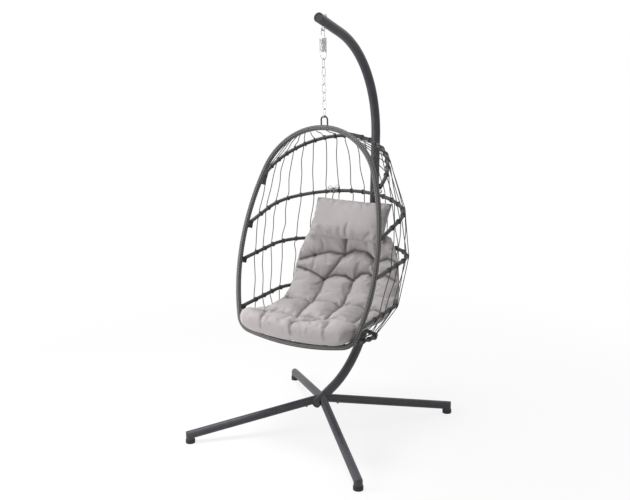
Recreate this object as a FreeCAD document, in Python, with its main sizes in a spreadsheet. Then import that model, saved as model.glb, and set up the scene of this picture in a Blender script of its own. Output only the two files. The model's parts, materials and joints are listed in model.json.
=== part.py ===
import FreeCAD, Part
import math
import os
from FreeCAD import Placement, Rotation, Vector

doc = FreeCAD.newDocument("HangingEggChair")

# Driving dimensions, in millimetres and degrees
SIZES = [
    ("foot_radius", 646, "hub centre to the centre of each foot"),
    ("hub_height", 154, "height of the hub centre above the floor"),
    ("leg_end_height", 39, "height of a leg's axis above its foot"),
    ("leg_diameter", 40, "outside of the leg tubes and their sleeves"),
    ("leg_wall", 1.5, "wall of the leg tubes"),
    ("sleeve_length", 100, "welded sleeve, from the hub centre"),
    ("leg_spigot_length", 48, "part of a leg inside its sleeve"),
    ("leg_bolt_inset", 17, "leg bolt from the sleeve's open end"),
    ("foot_height", 16, "rubber foot"),
    ("foot_wall", 2.5, "side wall of a rubber foot"),
    ("foot_sole", 6, "rubber under the leg's end"),
    ("slip_gap", 0.3, "clearance between pieces that meet"),
    ("thread_gap", 0.05, "clearance between a nut and its bolt"),
    ("bolt_overrun", 3, "thread that shows past a nut"),
    ("pole_diameter", 45, "outside of the bent pole"),
    ("pole_wall", 1.8, "wall of the pole tubes"),
    ("pole_overhang", 54, "pole in front of the hub centre"),
    ("pole_foot_slope", 11, "rise of the pole's lowest run"),
    ("pole_foot_run", 108, "lowest run behind the hub centre"),
    ("lower_bend_radius", 510, "lower bend, on the tube's axis"),
    ("pole_lean", 3.3, "backward lean of the straight run"),
    ("lower_straight", 260, "straight run of the lower pole"),
    ("upper_straight", 456, "straight run of the upper pole"),
    ("upper_bend_radius", 520, "upper bend, on the tube's axis"),
    ("tip_slope", 20, "rise of the pole's tip"),
    ("tip_run", 198, "straight run at the tip"),
    ("pole_spigot_length", 120, "upper pole inside the lower pole"),
    ("cap_flange", 4, "visible thickness of a pole cap"),
    ("cap_plug_length", 16, "part of a cap inside its tube"),
    ("cap_rim", 5, "rim round the dished face of a cap"),
    ("cap_dish", 1.6, "depth of that dish"),
    ("eye_from_tip", 51, "eye bolt from the open tip"),
    ("eye_wire", 6, "wire of the eye"),
    ("eye_radius", 8.5, "eye, to the middle of its wire"),
    ("eye_shank", 8, "diameter of the eye bolt's shank"),
    ("eye_drop", 12.5, "eye's centre below the pole"),
    ("washer_thickness", 1.6, "washer of the eye bolt"),
    ("eye_nut_width", 13, "nut of the eye bolt, across its flats"),
    ("eye_nut_height", 6.5, "nut of the eye bolt"),
    ("spring_wire", 4.5, "wire of the spring"),
    ("spring_radius", 14.25, "spring, to the middle of its wire"),
    ("spring_turns", 12, "closed turns of the spring"),
    ("spring_gap", 0.5, "air between two turns"),
    ("hook_bend_radius", 5, "bend where a hook leaves the turns"),
    ("hook_tail", 9, "straight end of the top hook"),
    ("hook_opening", 26, "end of the bottom hook past its side, in degrees"),
    ("top_hook_reach", 38, "top turn to the top of the hook"),
    ("bottom_hook_reach", 33, "bottom turn to the foot of the hook"),
    ("link_wire", 5, "wire of the chain"),
    ("link_inner_length", 37.5, "opening of a link, lengthwise"),
    ("link_inner_width", 12, "opening of a link, across"),
    ("link_count", 7, "links of the chain"),
    ("loop_rod", 7.6, "rod of the loop on the basket"),
    ("loop_radius", 16.5, "loop, to the middle of its rod"),
    ("loop_height", 52, "loop's rod above the middle of the hoop"),
    ("hoop_lean", 17.6, "backward lean of the front hoop"),
    ("hoop_height", 1000, "hoop, measured along its plane"),
    ("hoop_half_width", 364.5, "hoop's half width on its axis"),
    ("hoop_widest_drop", 610, "top of the hoop to its widest level"),
    ("hoop_top_radius", 312, "bend of the hoop's crown"),
    ("hoop_side_radius", 1040, "bend of the hoop's lower sides"),
    ("hoop_corner_radius", 85, "bend of the hoop's lower corners"),
    ("hoop_bottom_radius", 1300, "bend of the hoop's lower rail"),
    ("hoop_tube", 19, "steel tube inside the hoop"),
    ("hoop_tube_wall", 1.2, "wall of that tube"),
    ("hoop_wicker", 25, "outside of the woven hoop"),
    ("rib_one_drop", 276, "crown of the hoop to rib one, along the hoop"),
    ("rib_one_slope", 33, "rise of rib one towards the back, in degrees"),
    ("rib_one_depth", 370, "rear of rib one behind the hoop"),
    ("rib_one_corner", 182, "corner bend of rib one"),
    ("rib_one_rear", 318, "rear bend of rib one"),
    ("rib_two_drop", 488, "crown of the hoop to rib two, along the hoop"),
    ("rib_two_slope", 15, "rise of rib two, in degrees"),
    ("rib_two_depth", 464, "rear of rib two behind the hoop"),
    ("rib_two_corner", 190, "corner bend of rib two"),
    ("rib_two_rear", 430, "rear bend of rib two"),
    ("rib_three_rise", 343, "lower rail of the hoop to rib three, along the hoop"),
    ("rib_three_slope", 4, "rise of rib three, in degrees"),
    ("rib_three_depth", 492, "rear of rib three behind the hoop"),
    ("rib_three_corner", 180, "corner bend of rib three"),
    ("rib_three_rear", 620, "rear bend of rib three"),
    ("rib_four_rise", 120, "lower rail of the hoop to rib four, along the hoop"),
    ("rib_four_slope", 2, "rise of rib four, in degrees"),
    ("rib_four_depth", 505, "rear of rib four behind the hoop"),
    ("rib_four_corner", 155, "corner bend of rib four"),
    ("rib_four_rear", 560, "rear bend of rib four"),
    ("rib_five_rise", 28, "lower rail of the hoop to rib five, along the hoop"),
    ("rib_five_slope", -8, "rise of rib five, in degrees"),
    ("rib_five_depth", 400, "rear of rib five behind the hoop"),
    ("rib_five_corner", 110, "corner bend of rib five"),
    ("rib_five_rear", 600, "rear bend of rib five"),
    ("rib_bar", 10, "steel bar inside a rib"),
    ("rib_wicker", 18, "outside of a wound rib"),
    ("rib_plug", 4, "thickness of a rib's end plug"),
    ("lug_thickness", 3, "plate that holds a rib's end"),
    ("lug_height", 16, "height of that plate"),
    ("rib_bolt", 5, "bolt through a rib's end"),
    ("rib_bolt_head", 8, "head of that bolt, across its flats"),
    ("rib_bolt_head_height", 3.2, "head of that bolt"),
    ("rib_bolt_inset", 10, "that bolt from the rib's end"),
    ("rib_bolt_overrun", 6, "that bolt's end past its lug"),
    ("cord_diameter", 4, "cords of the basket"),
    ("cord_count", 18, "cords side by side"),
    ("cord_end_share", 0.055, "share of a rib that is bare at each end"),
    ("cord_crown_share", 0.15, "share of the hoop's length that the cords take at its crown"),
    ("cord_rail_share", 0.27, "share of the hoop's length that they take at its lower rail"),
    ("cord_side_share", 0.3, "share of the cords, at each side, that end on the lowest rib"),
    ("cushion_thickness", 100, "seat cushion through the crown of a quilted roll"),
    ("cushion_channel", 74, "seat cushion through a sewn row"),
    ("cushion_half_width", 302, "seat cushion, half its width at its front corners"),
    ("cushion_seat_half_width", 274, "seat cushion, half its width behind those corners"),
    ("cushion_bend_half_width", 298, "seat cushion, half its width where it bends up"),
    ("cushion_top_half_width", 250, "seat cushion, half its width near the top"),
    ("cushion_draw", 10, "how far its sides draw in at a sewn row"),
    ("cushion_corner", 52, "how far its corners round off"),
    ("cushion_lip", 16, "length of its rounded ends"),
    ("cushion_front_curl", 26, "how far its front corners stand up"),
    ("cushion_curl", 44, "how far the back pad's sides come forward"),
    ("cushion_front", 36, "its front edge ahead of the hoop's lower rail"),
    ("cushion_front_roll", 98, "its front edge to the end of its front roll"),
    ("cushion_bend", 190, "bend from seat to back, on the middle line"),
    ("cushion_lean", 15.5, "backward lean of the back pad"),
    ("cushion_back_run", 228, "back pad above the bend"),
    ("tuft_spacing", 145, "distance between two tufts of a row"),
    ("tuft_depth", 20, "depth of a sewn tuft"),
    ("tuft_radius", 36, "roundness of a tuft's dimple"),
    ("tuft_margin", 45, "least distance of a tuft from the side"),
    ("pillow_width", 420, "headrest pillow"),
    ("pillow_height", 205, "headrest pillow"),
    ("pillow_thickness", 92, "headrest pillow through its crown"),
    ("pillow_drop", 475, "pillow's middle below the crown of the hoop"),
    ("pillow_behind", 222, "pillow's middle behind the hanging axis"),
    ("pillow_lean", 29, "backward lean of the pillow"),
    ("tie_place", 126, "ties of the pillow, from the middle"),
    ("tie_cord", 3, "cord of the pillow's ties"),
    ("stand_bolt", 6, "bolts of the legs"),
    ("stand_bolt_length", 14, "bolts of the legs, under the head"),
    ("stand_bolt_head", 10, "their heads, across the flats"),
    ("stand_bolt_head_height", 4, "their heads"),
    ("joint_bolt", 8, "bolts of the pole joint"),
    ("joint_bolt_head", 13, "their heads and nuts, across the flats"),
    ("joint_bolt_head_height", 5, "their heads"),
    ("joint_nut_height", 6, "their nuts"),
    ("joint_bolt_high", 35, "upper bolt below the joint"),
    ("joint_bolt_low", 85, "lower bolt below the joint"),
]

sheet = doc.addObject("Spreadsheet::Sheet", "Sizes")
for row, (alias, value, note) in enumerate(SIZES, 1):
    sheet.set("A%d" % row, alias)
    sheet.set("B%d" % row, str(value))
    sheet.set("C%d" % row, note)
    sheet.setAlias("B%d" % row, alias)
doc.recompute()


def size(alias):
    """Value of one cell of the sheet."""
    return float(sheet.get(alias))


X = Vector(1, 0, 0)
Z = Vector(0, 0, 1)
gap = size("slip_gap")
pole_radius = size("pole_diameter") / 2
leg_radius = size("leg_diameter") / 2
parts = []


def keep(label, shape, placement=None):
    """A sub-part whose shape is worked out here."""
    piece = doc.addObject("Part::Feature", label)
    piece.Label = label
    piece.Shape = shape
    piece.Placement = placement or Placement()
    parts.append(piece)
    return piece


def primitive(kind, name, sizes, placement):
    """A Part primitive whose sizes are bound to the sheet."""
    piece = doc.addObject("Part::" + kind, name)
    if kind == "Prism":
        piece.Polygon = 6
    for prop, expression in sizes.items():
        piece.setExpression(prop, expression)
    piece.Placement = placement
    return piece


def combine(kind, label, pieces):
    """A cut (first minus second) or a fusion of document objects, kept as a sub-part."""
    if kind == "Cut":
        result = doc.addObject("Part::Cut", label)
        result.Base, result.Tool = pieces
    else:
        result = doc.addObject("Part::MultiFuse", label)
        result.Shapes = pieces
    result.Label = label
    parts.append(result)
    return result


def aimed(base, direction):
    """Placement that carries +Z onto a direction at a base point."""
    return Placement(base, Rotation(Z, direction))


def heading(degrees):
    """Unit vector in the side view, 0 towards the back and 90 upwards."""
    a = math.radians(degrees)
    return Vector(0, math.cos(a), math.sin(a))


class SidePath:
    """A path in the chair's middle plane, drawn by straight runs and bends."""

    def __init__(self, start, degrees):
        self.point = start
        self.angle = degrees
        self.edges = []

    def run(self, length):
        end = self.point + heading(self.angle) * length
        self.edges.append(Part.LineSegment(self.point, end).toShape())
        self.point = end
        return self

    def bend(self, radius, turn):
        centre = self.point + heading(self.angle + 90) * radius
        middle = centre + heading(self.angle - 90 + turn / 2) * radius
        end = centre + heading(self.angle - 90 + turn) * radius
        self.edges.append(Part.Arc(self.point, middle, end).toShape())
        self.point = end
        self.angle += turn
        return self

    def wire(self):
        return Part.Wire(self.edges)


def pipe(wire, radius, sharp=False):
    """Solid round bar along a wire."""
    first = wire.OrderedEdges[0]
    start = first.valueAt(first.FirstParameter)
    tangent = first.tangentAt(first.FirstParameter)
    if first.Orientation == "Reversed":
        start = first.valueAt(first.LastParameter)
        tangent = first.tangentAt(first.LastParameter) * -1
    profile = Part.Wire(Part.makeCircle(radius, start, tangent))
    sweep = Part.BRepOffsetAPI.MakePipeShell(wire)
    if sharp:
        sweep.setTransitionMode(1)
    sweep.add(profile)
    sweep.build()
    sweep.makeSolid()
    solid = Part.Solid(sweep.shape()) if sweep.shape().ShapeType == "Shell" else sweep.shape()
    if solid.Volume < 0:
        solid.reverse()
    return solid


def along_wire(wire, share):
    """Point and direction at a share of a wire's length."""
    rest = share % 1.0 * wire.Length
    for edge in wire.OrderedEdges:
        if rest <= edge.Length:
            break
        rest -= edge.Length
    if edge.Orientation == "Reversed":
        parameter = edge.getParameterByLength(edge.Length - rest)
        return edge.valueAt(parameter), edge.tangentAt(parameter) * -1
    parameter = edge.getParameterByLength(min(rest, edge.Length))
    return edge.valueAt(parameter), edge.tangentAt(parameter)


def rod(start, end, radius):
    """Straight round bar between two points."""
    return Part.makeCylinder(radius, (end - start).Length, start, end - start)


def hexagon(across_flats, height, base, direction):
    """Hexagonal head or nut standing on a base point."""
    first = Vector(across_flats / math.sqrt(3), 0, 0)
    outline = [Rotation(Z, 60 * k).multVec(first) for k in range(7)]
    prism = Part.Face(Part.makePolygon(outline)).extrude(Vector(0, 0, height))
    prism.Placement = aimed(base, direction)
    return prism


def bolt(base, direction, shank, length, head_width, head_height):
    """Hexagon bolt: the head stands behind the base point and the shank runs ahead of it."""
    head = hexagon(head_width, head_height, base - direction * head_height, direction)
    return head.fuse(rod(base - direction * head_height / 2, base + direction * length, shank / 2))


# Pole: its middle plane runs from the overhang in front of the hub to the tip.
# The origin lies on the floor in the middle of the chair's outline, so the hub stands
# a little in front of it: the front feet and the back of the pole are the ends.
hub_zero = Vector(0, 0, size("hub_height"))
foot_slope = size("pole_foot_slope")
upright = 90 - size("pole_lean")


def draw_pole(hub):
    """Lower and upper centre lines of the pole, and the joint between them."""
    lower = SidePath(hub - heading(foot_slope) * size("pole_overhang"), foot_slope)
    lower.run(size("pole_overhang") + size("pole_foot_run"))
    lower.bend(size("lower_bend_radius"), upright - foot_slope)
    lower.run(size("lower_straight"))
    joint = Vector(lower.point)
    upper = SidePath(joint, upright)
    upper.run(size("upper_straight"))
    upper.bend(size("upper_bend_radius"), 180 - size("tip_slope") - upright)
    upper.run(size("tip_run"))
    return lower, upper, joint


trial_lower, trial_upper, trial_joint = draw_pole(hub_zero)
back_reach = trial_upper.wire().BoundBox.YMax + pole_radius
front_reach = size("foot_radius") * math.cos(math.pi / 4) + leg_radius + size("foot_wall")
hub = hub_zero + Vector(0, (front_reach - back_reach) / 2, 0)
lower_path, upper_path, joint = draw_pole(hub)
up_pole = heading(upright)
pole_bore = pole_radius - size("pole_wall")

# Legs: each runs down from its sleeve, turns the corner and stands in its foot.
# A leg is drawn along +X from the hub and then turned to its diagonal.
slope = Vector(size("foot_radius"), 0, size("leg_end_height") - size("hub_height"))
leg_axis = Vector(slope).normalize()
leg_bore = leg_radius - size("leg_wall")
spigot_radius = leg_bore - gap
spigot_bore = spigot_radius - size("leg_wall")
sleeve_end = leg_axis * size("sleeve_length")
leg_start = leg_axis * (size("sleeve_length") + gap)
corner = Vector(slope)
shin = Vector(size("foot_radius"), 0, size("foot_sole") + gap - size("hub_height"))
leg_down = leg_axis.cross(Vector(0, 1, 0))
if leg_down.z > 0:
    leg_down = leg_down * -1
bolt_along = size("sleeve_length") - size("leg_bolt_inset")
bolt_seat = leg_axis * bolt_along + leg_down * (leg_radius + gap)
bolt_hole = rod(bolt_seat + leg_down, bolt_seat - leg_down * leg_radius, size("stand_bolt") / 2 + gap)


def make_leg():
    """One leg about the hub, before it is turned to its diagonal."""
    path = Part.makePolygon([leg_start, corner, shin])
    tube = pipe(path, leg_radius, True).cut(pipe(path, leg_bore, True))
    shoulder_end = leg_start + leg_axis * size("leg_wall") * 2
    shoulder = rod(leg_start, shoulder_end, leg_radius)
    spigot = rod(sleeve_end - leg_axis * size("leg_spigot_length"), shoulder_end, spigot_radius)
    core = rod(sleeve_end - leg_axis * (size("leg_spigot_length") + 1), shoulder_end + leg_axis, spigot_bore)
    return tube.fuse([shoulder, spigot]).cut(core).cut(bolt_hole).removeSplitter()


def make_leg_bolt():
    """Bolt that enters a sleeve from beneath."""
    return bolt(bolt_seat, leg_down * -1, size("stand_bolt"), size("stand_bolt_length"),
                size("stand_bolt_head"), size("stand_bolt_head_height"))


DIAGONALS = [("front_left", 225), ("front_right", 315), ("back_right", 45), ("back_left", 135)]
leg_shape = make_leg()
for corner_name, azimuth in DIAGONALS:
    turned = Placement(hub, Rotation(Z, azimuth))
    keep("leg_" + corner_name, leg_shape.copy(), turned)
    stand_on = turned.multVec(Vector(size("foot_radius"), 0, -size("hub_height")))
    cup = primitive("Cylinder", "cup_" + corner_name, {
        "Radius": "Sizes.leg_diameter / 2 + Sizes.foot_wall",
        "Height": "Sizes.foot_height"}, Placement(stand_on, Rotation()))
    well = primitive("Cylinder", "well_" + corner_name, {
        "Radius": "Sizes.leg_diameter / 2 + Sizes.slip_gap / 2",
        "Height": "Sizes.foot_height"}, Placement(stand_on + Z * size("foot_sole"), Rotation()))
    combine("Cut", "foot_" + corner_name, [cup, well])
leg_bolts = []
for corner_name, azimuth in DIAGONALS:
    one = make_leg_bolt()
    one.Placement = Placement(hub, Rotation(Z, azimuth)).multiply(one.Placement)
    leg_bolts.append(one)
keep("leg_bolts", Part.makeCompound(leg_bolts))

# Lower pole, with the four sleeves welded to it at the hub
lower_wire = lower_path.wire()
weldment = pipe(lower_wire, pole_radius)
sleeve_bores = []
for corner_name, azimuth in DIAGONALS:
    turned = Placement(hub, Rotation(Z, azimuth))
    outer = rod(Vector(0, 0, 0), sleeve_end, leg_radius)
    bore = rod(sleeve_end - leg_axis * (size("leg_spigot_length") + 1), sleeve_end + leg_axis, leg_bore)
    hole = bolt_hole.copy()
    for shape in (outer, bore, hole):
        shape.Placement = turned
    weldment = weldment.fuse(outer)
    sleeve_bores += [bore, hole]
lower_pole = weldment.cut([pipe(lower_wire, pole_bore)] + sleeve_bores)

# Pole joint: the upper pole's spigot slides into the lower pole and two bolts cross it
joint_holes = []
joint_bolts = []
joint_nuts = []
nut_height = size("joint_nut_height")
shank_length = 2 * (pole_radius + gap) + nut_height + size("bolt_overrun")
for below in (size("joint_bolt_high"), size("joint_bolt_low")):
    middle = joint - up_pole * below
    side = X * (pole_radius + gap)
    joint_holes.append(rod(middle - side * 1.2, middle + side * 1.2, size("joint_bolt") / 2 + gap))
    joint_bolts.append(bolt(middle + side, X * -1, size("joint_bolt"), shank_length, size("joint_bolt_head"),
                            size("joint_bolt_head_height")))
    nut = hexagon(size("joint_bolt_head"), nut_height, middle - side - X * nut_height, X)
    joint_nuts.append(nut.cut(rod(middle - side * 1.5, middle, size("joint_bolt") / 2 + size("thread_gap"))))
keep("lower_pole", lower_pole.cut(joint_holes).removeSplitter())

upper_pole_start = joint + up_pole * gap
upper_edges = SidePath(upper_pole_start, upright)
upper_edges.run(size("upper_straight") - gap)
upper_edges.bend(size("upper_bend_radius"), 180 - size("tip_slope") - upright)
upper_edges.run(size("tip_run"))
upper_wire = upper_edges.wire()
tip = upper_edges.point
tip_axis = heading(180 - size("tip_slope"))
bolt_down = X.cross(tip_axis)
eye_cross = tip - tip_axis * size("eye_from_tip")
spigot_outer = pole_bore - gap
shoulder_top = upper_pole_start + up_pole * size("pole_wall") * 2
upper_pole = pipe(upper_wire, pole_radius).cut(pipe(upper_wire, pole_bore))
upper_pole = upper_pole.fuse([rod(upper_pole_start, shoulder_top, pole_radius),
                              rod(joint - up_pole * size("pole_spigot_length"), shoulder_top, spigot_outer)])
spigot_start = joint - up_pole * (size("pole_spigot_length") + 1)
spigot_core = rod(spigot_start, shoulder_top + up_pole, spigot_outer - size("pole_wall"))
eye_reach = bolt_down * pole_radius * 1.4
eye_hole = rod(eye_cross - eye_reach, eye_cross + eye_reach, size("eye_shank") / 2 + gap)
keep("upper_pole", upper_pole.cut([spigot_core, eye_hole] + joint_holes).removeSplitter())
keep("pole_joint_bolts", Part.makeCompound(joint_bolts))
keep("pole_joint_nuts", Part.makeCompound(joint_nuts))

# Plastic caps in the two open ends of the pole
for label, end, outward in (("pole_tip_cap", tip, tip_axis),
                            ("pole_foot_cap", lower_path.edges[0].valueAt(0), heading(foot_slope + 180))):
    flange = primitive("Cylinder", label + "_flange", {
        "Radius": "Sizes.pole_diameter / 2",
        "Height": "Sizes.cap_flange"}, aimed(end + outward * gap, outward))
    rim = primitive("Cylinder", label + "_recess", {
        "Radius": "Sizes.pole_diameter / 2 - Sizes.cap_rim", "Height": "Sizes.cap_flange"},
        aimed(end + outward * (gap + size("cap_flange") - size("cap_dish")), outward))
    plug = primitive("Cylinder", label + "_plug", {
        "Radius": "Sizes.pole_diameter / 2 - Sizes.pole_wall - Sizes.slip_gap",
        "Height": "Sizes.cap_plug_length + Sizes.slip_gap"},
        aimed(end - outward * size("cap_plug_length"), outward))
    dished = doc.addObject("Part::Cut", label + "_dished")
    dished.Base, dished.Tool = flange, rim
    combine("Fuse", label, [dished, plug])

# Eye bolt through the tip, with a washer and a nut on top
eye_centre = eye_cross + bolt_down * (pole_radius + size("eye_drop"))
eye_low = eye_centre + bolt_down * size("eye_radius")
washer_seat = eye_cross - bolt_down * (pole_radius + gap)
washer_thickness = size("washer_thickness")
nut_height = size("eye_nut_height")
ring = Part.makeTorus(size("eye_radius"), size("eye_wire") / 2, eye_centre, X.cross(bolt_down))
shank_top = washer_seat - bolt_down * (washer_thickness + nut_height + size("bolt_overrun"))
shank = rod(eye_centre - bolt_down * size("eye_radius"), shank_top, size("eye_shank") / 2)
keep("eye_bolt", ring.fuse(shank))
bolt_up = bolt_down * -1
disc = primitive("Cylinder", "washer_disc", {
    "Radius": "Sizes.eye_shank", "Height": "Sizes.washer_thickness"}, aimed(washer_seat, bolt_up))
disc_bore = primitive("Cylinder", "washer_bore", {
    "Radius": "Sizes.eye_shank / 2 + Sizes.slip_gap / 3", "Height": "Sizes.washer_thickness * 3"},
    aimed(washer_seat - bolt_up * washer_thickness, bolt_up))
combine("Cut", "eye_washer", [disc, disc_bore])
nut_seat = washer_seat + bolt_up * (washer_thickness + gap / 3)
hex_nut = primitive("Prism", "eye_nut_hexagon", {
    "Circumradius": "Sizes.eye_nut_width / sqrt(3)",
    "Height": "Sizes.eye_nut_height"}, aimed(nut_seat, bolt_up))
nut_bore = primitive("Cylinder", "eye_nut_bore", {
    "Radius": "Sizes.eye_shank / 2 + Sizes.thread_gap", "Height": "Sizes.eye_nut_height * 3"},
    aimed(nut_seat - bolt_up * nut_height, bolt_up))
combine("Cut", "eye_nut", [hex_nut, nut_bore])


# Hanger spring: closed turns between two full-width hooks, one unbroken wire
def biarc(start, start_way, end, end_way):
    """Two arcs that leave the start along its tangent and reach the end along its own."""
    span = end - start
    both = start_way + end_way
    a = 2 * (1 - start_way.dot(end_way))
    b = 2 * span.dot(both)
    c = -span.dot(span)
    if abs(a) < 1e-9:
        reach = -c / b
    else:
        reach = (-b + math.sqrt(b * b - 4 * a * c)) / (2 * a)
    first_corner = start + start_way * reach
    last_corner = end - end_way * reach
    meet = (first_corner + last_corner) * 0.5
    return [corner_arc(start, first_corner, meet), corner_arc(meet, last_corner, end)]


def corner_arc(start, corner_point, end):
    """Arc tangent to both sides of an even corner."""
    middle = (start + end) * 0.5
    rise = corner_point - middle
    half = (end - start).Length / 2
    side = (corner_point - start).Length
    depth = half * (side - half) / rise.Length
    return Part.Arc(start, middle + Vector(rise).normalize() * depth, end).toShape()


wire_radius = size("spring_wire") / 2
coil = size("spring_radius")
pitch = size("spring_wire") + size("spring_gap")
turns = int(size("spring_turns"))
hook_bend = size("hook_bend_radius")
hang = Vector(eye_low)
hook_top = eye_low + Z * (size("eye_wire") / 2 + wire_radius + gap)
turns_top = hook_top.z - size("top_hook_reach")
turns_bottom = turns_top - turns * pitch
hook_low_z = turns_bottom - size("bottom_hook_reach")


def on_coil(angle):
    """Point and direction on the helix; the angle in quarter turns from the lowest point."""
    a = angle * math.pi / 2
    point = Vector(hang.x + coil * math.cos(a), hang.y + coil * math.sin(a), turns_bottom + pitch * angle / 4)
    way = Vector(-math.sin(a), math.cos(a), pitch / (2 * math.pi * coil)).normalize()
    return point, way


def spring_path():
    """Bottom hook, turns and top hook as one wire."""
    quarter = math.pi / 2
    bend_angle = hook_bend / coil / quarter
    first = bend_angle
    last = turns * 4 + 1 - bend_angle
    edges = []
    p, way = on_coil(first)
    # Bottom hook in the plane of X and Z: down the side at +X, round the foot and up the side at -X
    side_x = hang.x + coil
    bend_low = Vector(side_x, hang.y, turns_bottom - hook_bend)
    edges_down = biarc(bend_low, Vector(0, 0, 1), p, way)
    foot_centre = Vector(hang.x, hang.y, hook_low_z + coil)
    opening = math.radians(size("hook_opening"))
    open_end = foot_centre + Vector(-coil * math.cos(opening), 0, coil * math.sin(opening))
    left = foot_centre + Vector(-coil, 0, 0)
    right = foot_centre + Vector(coil, 0, 0)
    middle_left = foot_centre + Vector(-coil * math.cos(opening / 2), 0, coil * math.sin(opening / 2))
    edges.append(Part.Arc(open_end, middle_left, left).toShape())
    edges.append(Part.Arc(left, foot_centre - Z * coil, right).toShape())
    edges.append(Part.LineSegment(right, bend_low).toShape())
    edges += edges_down
    at = first
    while at < last - 1e-6:
        step_to = min(math.floor(at + 1e-6) + 1, last)
        a_point, a_way = on_coil(at)
        b_point, b_way = on_coil(step_to)
        edges += biarc(a_point, a_way, b_point, b_way)
        at = step_to
    # Top hook in the plane of Y and Z: up the side at +Y, over the eye and down the side at -Y
    p, way = on_coil(last)
    bend_high = Vector(hang.x, hang.y + coil, turns_bottom + pitch * (turns + 0.25) + hook_bend)
    edges += biarc(p, way, bend_high, Z)
    hook_middle = Vector(hang.x, hang.y, hook_top.z - coil)
    hook_back = hook_middle + Vector(0, coil, 0)
    hook_front = hook_middle - Vector(0, coil, 0)
    edges.append(Part.LineSegment(bend_high, hook_back).toShape())
    edges.append(Part.Arc(hook_back, hook_middle + Z * coil, hook_front).toShape())
    edges.append(Part.LineSegment(hook_front, hook_front - Z * size("hook_tail")).toShape())
    return Part.Wire(edges)


spring_wire_path = spring_path()
keep("hanger_spring", pipe(spring_wire_path, wire_radius))
samples = spring_wire_path.discretize(Distance=wire_radius / 2)
apart = int(4 * coil / wire_radius)
least = min((here - there).Length for i, here in enumerate(samples) for there in samples[i + apart:]
            if abs(here.z - there.z) < 2 * pitch)
print("spring: least gap between turns %.2f mm" % (least - size("spring_wire")))

# Chain: links stand crosswise in turn, each hanging in the one above
link_radius = size("link_wire") / 2
link_bow = (size("link_inner_width") + size("link_wire")) / 2
link_length = size("link_inner_length") + size("link_wire")
link_step = size("link_inner_length") - gap
first_top = hook_low_z + wire_radius + link_radius + gap


def link_shape(top, across):
    """One link, from the middle of the wire at its top."""
    low_centre = top - Z * (link_length - link_bow)
    high_centre = top - Z * link_bow
    side = across * link_bow
    edges = [Part.Arc(low_centre + side, top - Z * link_length, low_centre - side).toShape(),
             Part.LineSegment(low_centre - side, high_centre - side).toShape(),
             Part.Arc(high_centre - side, top, high_centre + side).toShape(),
             Part.LineSegment(high_centre + side, low_centre + side).toShape()]
    return pipe(Part.Wire(edges), link_radius)


for number in range(int(size("link_count"))):
    link_top = Vector(hang.x, hang.y, first_top - number * link_step)
    keep("chain_link_%d" % (number + 1), link_shape(link_top, X if number % 2 else Vector(0, 1, 0)))

# Basket: the hoop's plane leans back from its lower rail to its crown
last_low = first_top - (size("link_count") - 1) * link_step - link_length
loop_z = last_low + link_radius + size("loop_rod") / 2 + gap
crown = Vector(hang.x, hang.y, loop_z - size("loop_height"))
lean = math.radians(size("hoop_lean"))
hoop_up = Vector(0, math.sin(lean), math.cos(lean))
hoop_back = Vector(0, math.cos(lean), -math.sin(lean))


def on_hoop(across, down, behind=0):
    """Point of the hoop's plane: across it, down from the crown and behind it."""
    return crown + X * across - hoop_up * down + hoop_back * behind


def meet_inside(big_centre, big_radius, small_centre, small_radius):
    """Point where a small circle touches a big one from inside, in the hoop's plane."""
    way = (small_centre[0] - big_centre[0], small_centre[1] - big_centre[1])
    length = math.hypot(*way)
    return (big_centre[0] + way[0] / length * big_radius, big_centre[1] + way[1] / length * big_radius)


def hoop_outline():
    """Centres, radii and joints of the hoop's arcs on its right half, as (across, down)."""
    top_r, side_r = size("hoop_top_radius"), size("hoop_side_radius")
    corner_r, low_r = size("hoop_corner_radius"), size("hoop_bottom_radius")
    wide, drop, high = size("hoop_half_width"), size("hoop_widest_drop"), size("hoop_height")
    # The shoulder arc touches the crown's arc and stands upright at the widest level
    rise = drop - top_r
    shoulder_r = (wide * wide + rise * rise - top_r * top_r) / (2 * (wide - top_r))
    crown_centre = (0, top_r)
    shoulder_centre = (wide - shoulder_r, drop)
    side_centre = (wide - side_r, drop)
    low_centre = (0, high - low_r)
    # The corner's centre lies inside both the side arc and the lower rail's arc
    a, b = side_r - corner_r, low_r - corner_r
    dx, dy = low_centre[0] - side_centre[0], low_centre[1] - side_centre[1]
    d = math.hypot(dx, dy)
    along = (a * a - b * b + d * d) / (2 * d)
    off = math.sqrt(a * a - along * along)
    options = [(side_centre[0] + (along * dx + sign * off * dy) / d,
                side_centre[1] + (along * dy - sign * off * dx) / d) for sign in (1, -1)]
    corner_centre = max(options)
    crown_end = meet_inside(shoulder_centre, shoulder_r, crown_centre, top_r)
    side_end = meet_inside(side_centre, side_r, corner_centre, corner_r)
    rail_start = meet_inside(low_centre, low_r, corner_centre, corner_r)
    return [(crown_centre, top_r, (0, 0), crown_end),
            (shoulder_centre, shoulder_r, crown_end, (wide, drop)),
            (side_centre, side_r, (wide, drop), side_end),
            (corner_centre, corner_r, side_end, rail_start),
            (low_centre, low_r, rail_start, (0, high))]


def hoop_half_width(down):
    """Half width of the hoop's centre line at one level."""
    for (across, centre_down), radius, start, end in hoop_outline():
        if start[1] <= down <= end[1]:
            return across + math.sqrt(radius * radius - (down - centre_down) ** 2)
    return 0


def arc_on_hoop(centre, radius, start, end, side, behind):
    """Arc of the outline in space, on the right (side 1) or the left (side -1)."""
    middle = ((start[0] + end[0]) / 2 - centre[0], (start[1] + end[1]) / 2 - centre[1])
    length = math.hypot(*middle)
    through = (centre[0] + middle[0] / length * radius, centre[1] + middle[1] / length * radius)
    ends = [on_hoop(side * across, down, behind) for across, down in (start, through, end)]
    return Part.Arc(*ends).toShape()


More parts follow.
